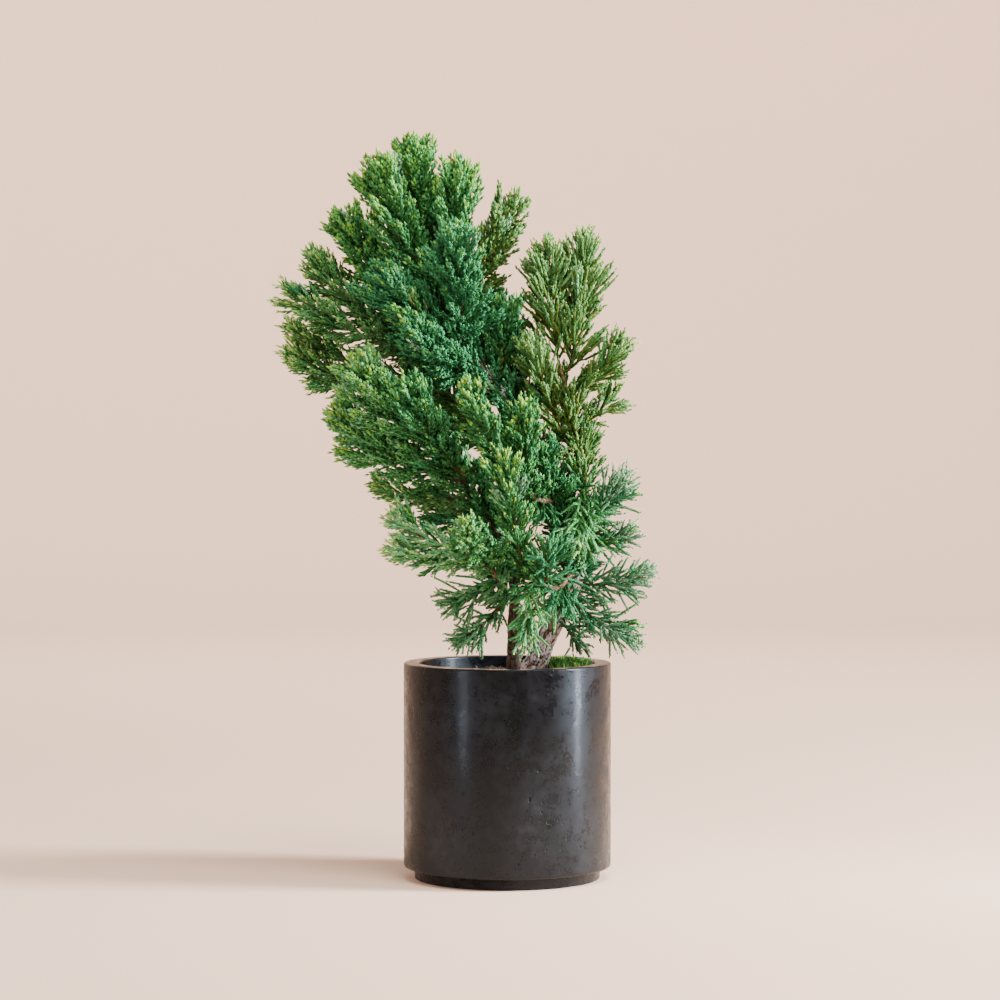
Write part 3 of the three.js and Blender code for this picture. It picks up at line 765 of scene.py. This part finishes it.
# Plain colours of the sprays, from the oldest and darkest inside to the youngest at the tips.
GREENS = {
    "shade": (0.019, 0.082, 0.021, 1),
    "forest": (0.038, 0.17, 0.056, 1),
    "fern": (0.055, 0.155, 0.04, 1),
    "moss": (0.085, 0.15, 0.027, 1),
    "sage": (0.085, 0.21, 0.075, 1),
    "leaf": (0.07, 0.28, 0.08, 1),
    "clover": (0.13, 0.36, 0.17, 1),
    "willow": (0.165, 0.33, 0.09, 1),
    "grass": (0.145, 0.38, 0.07, 1),
    "reed": (0.29, 0.48, 0.13, 1),
    "lime": (0.235, 0.48, 0.075, 1),
    "gold": (0.3, 0.51, 0.075, 1),
    # Thyme, straw and hay are lightened greens: painted light for the plumes that face away from the key
    # light.
    "thyme": (0.085, 0.22, 0.08, 1),
    "straw": (0.33, 0.57, 0.16, 1),
    "hay": (0.48, 0.7, 0.22, 1),
    "spruce": (0.028, 0.155, 0.065, 1),
    "sea": (0.042, 0.215, 0.09, 1),
    "bloom": (0.078, 0.18, 0.1, 1),
    "mist": (0.15, 0.31, 0.18, 1),
    "frost": (0.235, 0.43, 0.25, 1),
}
# The six greens of each tone, from the oldest twigs to the youngest.
TONES = {
    "fresh": ("shade", "forest", "forest", "leaf", "grass", "lime"),
    "bright": ("forest", "forest", "leaf", "clover", "grass", "gold"),
    "tipped": ("shade", "shade", "forest", "forest", "grass", "gold"),
    "blue": ("shade", "spruce", "spruce", "sea", "sea", "grass"),
    # The green and pale tones are lighter than these plumes' own colour: painted light on the left and back
    # plumes, away from the key light.
    "green": ("forest", "thyme", "thyme", "leaf", "straw", "hay"),
    "pale": ("thyme", "leaf", "clover", "clover", "straw", "hay"),
    "deep": ("shade", "shade", "forest", "spruce", "leaf", "grass"),
    "olive": ("shade", "moss", "fern", "sage", "willow", "reed"),
    "bloomy": ("spruce", "spruce", "bloom", "bloom", "mist", "frost"),
    "soft": ("spruce", "leaf", "leaf", "clover", "clover", "straw"),
    # The frosty tone is lighter still: painted light on the lowest left sprays, which lie in shade.
    "frosty": ("sea", "sea", "clover", "clover", "mist", "frost"),
}
# How far a twig's green strays from its age, how many shoots have a tone of their own, how much older than
# its spurs a twig looks, and how youth grows from a parent's foot to its end.
TONE_SPREAD = 0.1
TONE_STRAY = 0.09
KIND_AGES = {"shoots": -0.5, "cords": -0.1, "spurs": 0.0}
SHOOT_YOUTH = (0.6, 1.08)
CORD_YOUTH = (0.5, 1.0)
SPUR_YOUTH = (0.55, 1.1)
WOODS = {"brown_twig": (0.085, 0.045, 0.02, 1), "green_twig": (0.05, 0.07, 0.018, 1)}
WOOD_ROUGHNESS = 0.7
LEAF_ROUGHNESS = 0.55
LEAF_SHINE = 0.05


def seeded_random(seed):
    """The solid part's own random numbers, so that the same shoots grow here."""
    state = seed
    while True:
        state = state * 48271 % 2147483647
        yield state / 2147483647


def plume_width(share):
    """How far the shoots reach along a plume, as a share of its reach."""
    return np.sin(np.pi * between(*WIDTH_PHASES, share))


class Plume:
    """One mass: its axis, how far its shoots reach, and what else the rule needs."""

    def __init__(self, on, at, tip, reach, tone, habit):
        tip = np.array(tip, float)
        self.limb_centre = limbs[on].curve.at(at)
        start, outward = leaving_place(limbs[on], at, tip)
        left = start + outward * LEAVING_RUN
        middle = between(left, tip, 0.5) - np.array((0, 0, SAG * np.linalg.norm(tip - left)))
        self.curve = Curve([start, left, middle, tip])
        self.length = self.curve.length
        self.reach, self.tone, self.habit = reach, tone, HABITS[habit]
        self.twig_radius = TWIG_RADIUS + TWIG_RADIUS_GAIN * self.length
        self.reference = steady_reference(self.curve)
        self.line = self.curve.at(np.linspace(0, 1, AXIS_SAMPLES + 1))


plumes = {name: Plume(*row) for region in REGIONS.values() for name, row in region.items()}
plume_names, plume_list = list(plumes), list(plumes.values())
habit_values = {key: np.array([plume.habit[key] for plume in plume_list], float) for key in HABITS["bushy"]}
limb_lines = [
    (limb.curve.at(np.linspace(0, 1, AXIS_SAMPLES + 1)), float(limb.radius(LIMB_WIDTH_SHARE)))
    for limb in limbs.values()
]
tone_numbers = np.array([list(TONES).index(plume.tone) for plume in plume_list])
foliage_chance = np.random.default_rng(FOLIAGE_SEED)


def along_line(points, line):
    """How far each point is from a line of straight runs, and how far along the line its nearest place is."""
    starts, runs = line[:-1], np.diff(line, axis=0)
    gaps = points[:, None, :] - starts
    shares = np.clip(np.sum(gaps * runs, axis=2) / np.sum(runs * runs, axis=1), 0, 1)
    distances = np.linalg.norm(gaps - shares[..., None] * runs, axis=2)
    nearest = distances.argmin(axis=1)
    rows = np.arange(len(points))
    return distances[rows, nearest], (nearest + shares[rows, nearest]) / len(runs)


def clear_of_limbs(points, floor):
    """Whether each point is above a floor and outside every stem and bough."""
    clear = points[:, 2] > floor
    for line, radius in limb_lines:
        clear &= along_line(points, line)[0] > radius + LIMB_MARGIN
    return clear


def is_free(points, own):
    """Whether each point belongs to this plume's space, clear of the limbs and of the planter."""
    free = clear_of_limbs(points, FOLIAGE_FLOOR)
    own_share = along_line(points, own.line)[0] / own.reach
    for other in plume_list:
        if other is not own:
            distance = along_line(points, other.line)[0]
            margin = SPACE_MARGIN / 2 * (1 / own.reach + 1 / other.reach)
            free &= distance / other.reach - own_share >= margin
            free &= distance >= other.twig_radius + SPACE_MARGIN
    return free


class Sprays:
    """Many twigs of a kind: the points along each, their places, and each twig's plume, tone and youth."""

    def __init__(self, points, places, plume, tone, youth):
        self.points, self.places = points, np.array(places)
        self.plume, self.tone, self.youth = plume, tone, youth
        self.length = np.linalg.norm(np.diff(points, axis=1), axis=2).sum(axis=1)

    def kept(self, mask):
        return Sprays(self.points[mask], self.places, self.plume[mask], self.tone[mask], self.youth[mask])

    def at(self, which, share):
        """The place and direction at a share of each chosen twig."""
        ring = np.clip(np.searchsorted(self.places, share) - 1, 0, len(self.places) - 2)
        start, end = self.places[ring], self.places[ring + 1]
        here, there = self.points[which, ring], self.points[which, ring + 1]
        return between(here, there, ((share - start) / (end - start))[:, None]), unit(there - here)


def gathered(sprays):
    """One set of sprays from several of the same places."""
    keys = ("points", "plume", "tone", "youth")
    joined = {key: np.concatenate([getattr(some, key) for some in sprays]) for key in keys}
    return Sprays(places=sprays[0].places, **joined)


def bent_twigs(roots, directions, towards, lengths, curl, places):
    """Twigs that set out in one direction and curl towards another."""
    share = np.array(places)[None, :, None]
    bend = (towards - directions)[:, None, :] * (np.asarray(curl)[:, None, None] * share**2)
    return roots[:, None, :] + lengths[:, None, None] * (directions[:, None, :] * share + bend)


def spiral(along, turn, angle):
    """Directions that stand off others by an angle, turned round them."""
    level = square_to(np.broadcast_to((0.02, 0.01, 1.0), along.shape), along)
    outward = level * np.cos(turn)[:, None] + np.cross(along, level) * np.sin(turn)[:, None]
    return along * np.cos(angle)[:, None] + outward * np.sin(angle)[:, None]


def side_twigs(parents, kind, bare):
    """Where twigs of a kind stand in a spiral along each parent, wide at its foot and narrow near its end."""
    keys = (f"{kind}_spacing", f"{kind}_wide", f"{kind}_narrow")
    spacing, wide, narrow = (habit_values[key][parents.plume] for key in keys)
    counts = np.maximum(1, np.round((1 - bare) * parents.length / spacing)).astype(int)
    parent = np.repeat(np.arange(len(counts)), counts)
    order = np.arange(len(parent)) - np.repeat(np.cumsum(counts) - counts, counts)
    share = (order + foliage_chance.random(len(parent))) / counts[parent]
    place = between(bare[parent], 1, share)
    roots, along = parents.at(parent, place)
    turn = (foliage_chance.random(len(counts)) * math.tau)[parent] + order * GOLDEN_ANGLE
    turn += (foliage_chance.random(len(parent)) - 0.5) * ROLL_SPREAD
    angle = np.radians(between(wide[parent], narrow[parent], share))
    angle *= foliage_chance.uniform(*ANGLE_SPREAD, len(parent))
    return parent, place, angle, roots, along, spiral(along, turn, angle)


def cords_of(shoots):
    """Cords along every shoot, reaching by the plume's own rule at a smaller size."""
    bare = np.full(len(shoots.plume), CORD_BARE)
    parent, place, angle, roots, along, directions = side_twigs(shoots, "cord", bare)
    length, plume = shoots.length[parent], shoots.plume[parent]
    sideways = habit_values["cord_reach"][plume] * length * plume_width(place)
    sideways *= foliage_chance.uniform(*REACH_SPREAD, len(parent))
    shortest, longest = habit_values["cord"][plume].T
    lengths = np.clip(sideways / np.sin(angle), shortest, longest)
    room = (1 - place) * length / np.cos(angle)
    lengths = np.minimum(lengths, np.maximum(room, shortest * STUNTED_CORD))
    points = bent_twigs(roots, directions, along, lengths, habit_values["curl"][plume], CORD_PLACES)
    youth = between(*CORD_YOUTH, place) * shoots.youth[parent]
    cords = Sprays(points, CORD_PLACES, plume, shoots.tone[parent], youth)
    return cords.kept(clear_of_limbs(points[:, -1], TWIG_FLOOR))


def spurs_of(bearers):
    """Short blunt spurs along every shoot or cord, pointing forward."""
    bare = habit_values["spur_bare"][bearers.plume]
    parent, place, _, roots, _, directions = side_twigs(bearers, "spur", bare)
    plume = bearers.plume[parent]
    low, high = habit_values["spur"][plume].T
    reaches = directions * between(low, high, foliage_chance.random(len(plume)))[:, None]
    points = roots[:, None, :] + reaches[:, None, :] * np.array(SPUR_PLACES)[None, :, None]
    youth = between(*SPUR_YOUTH, place**2) * bearers.youth[parent]
    spurs = Sprays(points, SPUR_PLACES, plume, bearers.tone[parent], youth)
    return spurs.kept(clear_of_limbs(points[:, -1], TWIG_FLOOR))


def shoots_from(roots, directions, towards, lengths, numbers, places):
    """Shoots of given places, cut so that their spurs end where the solid part's shoots do."""
    cut = np.maximum(lengths - TIP_CUT, lengths * LEAST_LEFT)
    points = bent_twigs(roots, directions, towards, cut, habit_values["shoot_curl"][numbers], SHOOT_PLACES)
    strayed = foliage_chance.random(len(numbers)) < TONE_STRAY
    tone = np.where(strayed, foliage_chance.integers(0, len(TONES), len(numbers)), tone_numbers[numbers])
    return Sprays(points, SHOOT_PLACES, numbers, tone, between(*SHOOT_YOUTH, places))


def rule_shoots(number):
    """The shoots of one plume, where the solid part has its own, and the shoot that ends the plume."""
    plume = plume_list[number]
    draw = seeded_random(SEED_STEP * (number + 1))
    length = plume.length
    end_length = min(max(END_SHOOT_SHARE * length, END_SHOOT_LENGTHS[0]), END_SHOOT_LENGTHS[1])
    end_share = 1 - (end_length - ROOT_DEPTH) / length
    count = round((end_share - BARE_SHARE) * length / SHOOT_SPACING)
    roll = next(draw) * math.tau
    rows = []
    for index in range(count):
        share = (index + 0.5) / count
        place = between(BARE_SHARE, end_share, share)
        along = plume.curve.along(place)
        level = square_to(plume.reference, along)
        outward = level * math.cos(roll) + np.cross(along, level) * math.sin(roll)
        angle = between(WIDE_ANGLE, NARROW_ANGLE, share) * between(*ANGLE_SPREAD, next(draw))
        direction = along * math.cos(angle) + outward * math.sin(angle)
        next(draw)
        sideways = plume.reach * plume_width(share) * between(*REACH_SPREAD, next(draw)) / math.sin(angle)
        full = min(sideways, (1 - place) * length * PAST_TIP / math.cos(angle))
        root = plume.curve.at(place)
        for shortening in SHORTENINGS:
            probes = root + direction * PROBES * full * shortening
            if full * shortening > SHORTEST_SHOOT and is_free(probes, plume).all():
                rows.append((root, direction, along, full * shortening, place))
                break
        roll += GOLDEN_ANGLE + (next(draw) - 0.5) * ROLL_SPREAD
    root = plume.curve.at(end_share)
    run = plume.curve.at(1.0) - root
    rows.append((root, unit(run), unit(run), np.linalg.norm(run), 1.0))
    roots, directions, towards, lengths, places = (np.array(column) for column in zip(*rows))
    return shoots_from(roots, directions, towards, lengths, np.full(len(rows), number), places)


def fill_shoots(number):
    """More shoots between those of the rule, from the foot of the plume onwards."""
    plume = plume_list[number]
    chance = np.random.default_rng(FILL_SEED + number)
    count = round((1 - FILL_BARE) * plume.length / plume.habit["fill_spacing"])
    share = (np.arange(count) + 0.5) / count
    place = between(FILL_BARE, FILL_END, share)
    along = plume.curve.along(place)
    angle = between(*FILL_ANGLES, share) * chance.uniform(*ANGLE_SPREAD, count)
    turn = chance.random() * math.tau + np.arange(count) * GOLDEN_ANGLE
    directions = spiral(along, turn, angle)
    reaches = plume.reach * chance.uniform(LEAST_FILL_REACH, plume.habit["fill_reach"], count)
    lengths = reaches / np.sin(angle)
    room = (1 - place) * chance.uniform(*FILL_ROOM, count) * plume.length
    lengths = np.minimum(lengths, room / np.cos(angle))
    roots = plume.curve.at(place)
    clear = clear_of_limbs(roots + directions * lengths[:, None], TWIG_FLOOR)
    clear &= lengths > SHORTEST_SHOOT
    chosen = (values[clear] for values in (roots, directions, along, lengths, np.full(count, number), place))
    return shoots_from(*chosen)


def limb_shoots(limb_name, low, high, numbers):
    """Short shoots on a stretch of limb, each of the nearest plume's kind and within its reach."""
    curve = limbs[limb_name].curve
    count = round((high - low) * curve.length / LIMB_SHOOT_SPACING)
    place = between(low, high, (np.arange(count) + foliage_chance.random(count)) / count)
    along = curve.along(place)
    turn = foliage_chance.random() * math.tau + np.arange(count) * GOLDEN_ANGLE
    directions = spiral(along, turn, foliage_chance.uniform(*LIMB_SHOOT_ANGLES, count))
    lengths = foliage_chance.uniform(*LIMB_SHOOT_LENGTHS, count)
    roots = curve.at(place)
    ends = roots + directions * lengths[:, None]
    shares = [along_line(ends, plume_list[number].line)[0] / plume_list[number].reach for number in numbers]
    near = np.min(shares, axis=0) < LIMB_SHOOT_ROOM
    nearest = np.array(numbers)[np.argmin(shares, axis=0)]
    lift = habit_values["lift"][nearest][:, None] * np.array((0, 0, 1))
    directions, towards = unit(directions + lift), unit(along + lift)
    near &= (roots + directions * lengths[:, None])[:, 2] > TWIG_FLOOR
    places = np.full(count, LIMB_SHOOT_PLACE)
    chosen = (values[near] for values in (roots, directions, towards, lengths, nearest, places))
    return shoots_from(*chosen)


def tube_mesh(points, radii, sides):
    """Tubes round many lines of points at once, each closed to a point at both ends.

    Gives the corners, the three-cornered faces and the number of faces of one tube.
    """
    many, rings = points.shape[:2]
    directions = unit(np.gradient(points, axis=1))
    run = unit(points[:, -1] - points[:, 0])
    reference = np.eye(3)[np.argmin(np.abs(run), axis=1)]
    across = square_to(np.broadcast_to(reference[:, None, :], directions.shape), directions)
    up = np.cross(directions, across)
    turns = np.arange(sides) * math.tau / sides
    spokes = across[:, :, None] * np.cos(turns)[:, None] + up[:, :, None] * np.sin(turns)[:, None]
    middle = points[:, 1:-1, None] + spokes[:, 1:-1] * radii[:, 1:-1, None, None]
    corners = np.concatenate([points[:, :1], middle.reshape(many, -1, 3), points[:, -1:]], axis=1)
    side, beside = np.arange(sides), (np.arange(sides) + 1) % sides
    tip = np.full(sides, (rings - 2) * sides + 1)
    faces = [np.stack([np.zeros(sides, int), beside + 1, side + 1], axis=1)]
    for ring in range(rings - 3):
        low, high = ring * sides + 1, (ring + 1) * sides + 1
        faces.append(np.stack([low + side, low + beside, high + beside], axis=1))
        faces.append(np.stack([low + side, high + beside, high + side], axis=1))
    last = (rings - 3) * sides + 1
    faces.append(np.stack([last + side, last + beside, tip], axis=1))
    faces = np.concatenate(faces)
    offsets = np.arange(many)[:, None, None] * corners.shape[1]
    return corners.reshape(-1, 3), (faces + offsets).reshape(-1, 3), len(faces)


def joined_mesh(name, corners, faces, colours):
    """One mesh from arrays of corners and three-cornered faces, each face with its colour's number."""
    mesh = bpy.data.meshes.new(name)
    mesh.vertices.add(len(corners))
    mesh.vertices.foreach_set("co", (corners * MM).ravel())
    mesh.loops.add(faces.size)
    mesh.loops.foreach_set("vertex_index", faces.ravel())
    mesh.polygons.add(len(faces))
    mesh.polygons.foreach_set("loop_start", np.arange(0, faces.size, 3))
    mesh.polygons.foreach_set("material_index", colours)
    mesh.update(calc_edges=True)
    return mesh


def plain_finish(name, colour, roughness):
    """One plain colour with hardly any shine."""
    fixed = {"Base Color": colour, "Roughness": roughness, "Specular IOR Level": LEAF_SHINE}
    return Finish(name, fixed).material


wood_finishes = [plain_finish(name, colour, WOOD_ROUGHNESS) for name, colour in WOODS.items()]
green_finishes = [plain_finish(name + "_green", colour, LEAF_ROUGHNESS) for name, colour in GREENS.items()]
green_numbers = {name: number for number, name in enumerate(GREENS)}
tone_table = np.array([[green_numbers[name] for name in tone] for tone in TONES.values()])


def dealt_greens(sprays, kind):
    """Each spray's colour number: from its plume's tone by how young it is, with some chance."""
    youth = sprays.youth + KIND_AGES[kind] + foliage_chance.normal(0, TONE_SPREAD, len(sprays.youth))
    steps = tone_table.shape[1]
    return tone_table[sprays.tone, np.clip((youth * steps).astype(int), 0, steps - 1)]


def add_twigs(name, points, radii, sides, colours, finishes, replaced):
    """Adds one joined piece of many twigs."""
    radii = np.broadcast_to(radii, points.shape[:2])
    corners, faces, per_tube = tube_mesh(points, radii, sides)
    mesh = joined_mesh(name, corners, faces, np.repeat(colours, per_tube))
    finish_piece(mesh, name, finishes, replaced)


for region, rows in REGIONS.items():
    numbers = [plume_names.index(name) for name in rows]
    shares = np.linspace(0, TWIG_END, AXIS_RINGS)
    axes = np.array([np.vstack([[plumes[name].limb_centre], plumes[name].curve.at(shares)]) for name in rows])
    thick = np.array([plumes[name].twig_radius * TWIG_SHARE for name in rows])
    axis_radii = between(thick[:, None], TWIG_TIP_RADIUS, np.linspace(0, 1, AXIS_RINGS + 1))
    wood = foliage_chance.integers(0, len(WOODS), len(rows))
    add_twigs(region + "_twigs", axes, axis_radii, TWIG_SIDES, wood, wood_finishes, rows)
    grown = [grow(number) for number in numbers for grow in (rule_shoots, fill_shoots)]
    grown += [limb_shoots(name, *stretch, numbers) for name, stretch in LIMB_STRETCHES[region].items()]
    shoots = gathered(grown)
    cords = cords_of(shoots)
    spurs = gathered([spurs_of(shoots), spurs_of(cords)])
    cord_radii = habit_values["cord_radius"][cords.plume][:, None] * np.array(CORD_SHARES)
    spur_radii = habit_values["spur_radius"][spurs.plume][:, None] * np.array(SPUR_SHARES)
    for kind, sprays, radii, sides in (
        ("shoots", shoots, np.array(SHOOT_RADII), SHOOT_SIDES),
        ("cords", cords, cord_radii, CORD_SIDES),
        ("spurs", spurs, spur_radii, CORD_SIDES),
    ):
        greens = dealt_greens(sprays, kind)
        add_twigs(f"{region}_{kind}", sprays.points, radii, sides, greens, green_finishes, rows)


# Moss
# A low tuft of green moss and fallen spurs that lies on the soil, inside the right side of the rim.
moss_low, moss_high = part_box("moss")
MOSS_CENTRE = (moss_low + moss_high) / 2
MOSS_HALF = (moss_high - moss_low) / 2
MOSS_SPRIGS = 1500
MOSS_SEED = 5
SPRIG_LENGTHS = (3.5, 11.0)
SPRIG_PLACES = (0.0, 0.4, 0.85, 1.0)
SPRIG_RADII = (0.0, 0.6, 0.5, 0.0)
SPRIG_SPREAD = 0.85
SPRIG_LEAN = (0, 0, 0.9)
SPRIG_CURL = 0.2
SPRIG_SEAT = 0.5
MOUND_EDGE = 0.02
MOSS_GREENS = ("forest", "leaf", "lime", "fern", "moss")


def moss_sprigs(chance):
    """Short sprigs that stand out of a low mound, thickest at its middle."""
    turn = chance.random(MOSS_SPRIGS) * math.tau
    reach = np.sqrt(chance.random(MOSS_SPRIGS))
    mound = np.sqrt(np.maximum(MOUND_EDGE, 1 - reach**2)) * MOSS_HALF.z
    x = MOSS_CENTRE.x + np.cos(turn) * reach * MOSS_HALF.x
    y = MOSS_CENTRE.y + np.sin(turn) * reach * MOSS_HALF.y
    roots = np.stack([x, y, moss_low.z + mound * SPRIG_SEAT], axis=1) / MM
    lean = unit(chance.normal(0, SPRIG_SPREAD, (MOSS_SPRIGS, 3)) + SPRIG_LEAN)
    lengths = chance.uniform(*SPRIG_LENGTHS, MOSS_SPRIGS) + mound / MM * SPRIG_SEAT
    upright = np.broadcast_to((0.0, 0.0, 1.0), roots.shape)
    return bent_twigs(roots, lean, upright, lengths, np.full(MOSS_SPRIGS, SPRIG_CURL), SPRIG_PLACES)


moss_chance = np.random.default_rng(MOSS_SEED)
moss_colours = moss_chance.choice([green_numbers[name] for name in MOSS_GREENS], MOSS_SPRIGS)
sprigs = moss_sprigs(moss_chance)
add_twigs("moss_tuft", sprigs, SPRIG_RADII, CORD_SIDES, moss_colours, green_finishes, ["moss"])


# Studio
# A plain pale floor that sweeps up into a wall all round. A soft key light stands at the right, with a light
# above and one on the wall. The two narrow strips only lay a gleam on the planter. The camera stands where
# the photograph was taken from.
FLOOR_RADIUS = 3.6
SWEEP_RADIUS = 1.4
WALL_HEIGHT = 2.6
SWEEP_STEPS = 16
STUDIO_FACETS = 96
BACKDROP = (0.92, 0.685, 0.533, 1)
BACKDROP_TOOTH = (0.906, 0.675, 0.525, 1)
BACKDROP_GLOW = 0.07
AIR_COLOUR = (1.0, 0.94, 0.9, 1)
AIR_STRENGTH = 0.5
# Each light: its place, what it faces, its size, its power in watts, its colour and its spread in degrees.
LIGHTS = {
    "key_light": ((2.3, -0.36, 1.1), (0, 0, 0.3), (0.6, 0.9), 214, (1.0, 0.97, 0.92), 180),
    "right_strip": ((0.99, -0.156, 0.36), (0, 0, 0.26), (0.12, 0.9), 2.7, (0.86, 0.92, 1.0), 60),
    "top_light": ((0.5, -0.9, 2.4), (0, 0, 0.3), (1.2, 1.2), 67, (1.0, 0.97, 0.93), 180),
    "wall_light": ((0, 1.6, 2.5), (0, 4.8, 1.0), (4.0, 0.6), 140, (1.0, 0.96, 0.91), 180),
    "left_strip": ((-0.886, -0.81, 0.4), (0, 0, 0.3), (0.2, 0.8), 0.6, (0.9, 0.94, 1.0), 60),
}
CAMERA_PLACE = (-6.3 * MM, -2565 * MM, 379 * MM)
CAMERA_LENS = 106.45
CAMERA_SENSOR = 36
CAMERA_PITCH = math.radians(-1.143)


def studio_profile():
    """The floor's section from its middle outwards, and up the wall."""
    profile = [(0, 0), (0.5, 0), (1.5, 0), (FLOOR_RADIUS, 0)]
    for step in range(1, SWEEP_STEPS + 1):
        turn = math.pi / 2 * step / SWEEP_STEPS
        profile.append((FLOOR_RADIUS + SWEEP_RADIUS * math.sin(turn), SWEEP_RADIUS * (1 - math.cos(turn))))
    profile.append((FLOOR_RADIUS + SWEEP_RADIUS, WALL_HEIGHT))
    return profile


def paper():
    """Matt backdrop paper with a faint tooth, which also gives back a little light of its own."""
    glow = {"Emission Color": BACKDROP, "Emission Strength": BACKDROP_GLOW}
    finish = Finish("backdrop_paper", {"Roughness": 0.9, "Specular IOR Level": 0.1, **glow})
    tooth = finish.noise(finish.place(), scale=90, detail=2)
    finish.feed("Base Color", finish.mix(tooth, BACKDROP, BACKDROP_TOOTH))
    return finish.material


studio_mesh = mesh_from(turned(studio_profile(), STUDIO_FACETS), "studio")
studio_mesh.materials.append(paper())
studio_mesh.shade_smooth()
backdrop = bpy.data.objects.new("studio", studio_mesh)
bpy.context.scene.collection.objects.link(backdrop)


def soft_light(name, place, target, size, power, colour, spread):
    """An area light that faces its target and doesn't show in the picture."""
    lamp = bpy.data.lights.new(name, "AREA")
    lamp.shape = "RECTANGLE"
    lamp.size, lamp.size_y = size
    lamp.energy = power
    lamp.color = colour
    lamp.spread = math.radians(spread)
    light = bpy.data.objects.new(name, lamp)
    light.location = place
    light.rotation_euler = (Vector(target) - Vector(place)).to_track_quat("-Z", "Y").to_euler()
    light.visible_camera = False
    bpy.context.scene.collection.objects.link(light)


for light_name, settings in LIGHTS.items():
    soft_light(light_name, *settings)

world = bpy.data.worlds.new("studio_air")
world.use_nodes = True
world.node_tree.nodes["Background"].inputs["Color"].default_value = AIR_COLOUR
world.node_tree.nodes["Background"].inputs["Strength"].default_value = AIR_STRENGTH
bpy.context.scene.world = world

camera = bpy.data.objects.new("camera", bpy.data.cameras.new("camera"))
camera.data.lens = CAMERA_LENS
camera.data.sensor_width = CAMERA_SENSOR
camera.location = CAMERA_PLACE
camera.rotation_euler = (math.pi / 2 + CAMERA_PITCH, 0, 0)
bpy.context.scene.collection.objects.link(camera)
bpy.context.scene.camera = camera
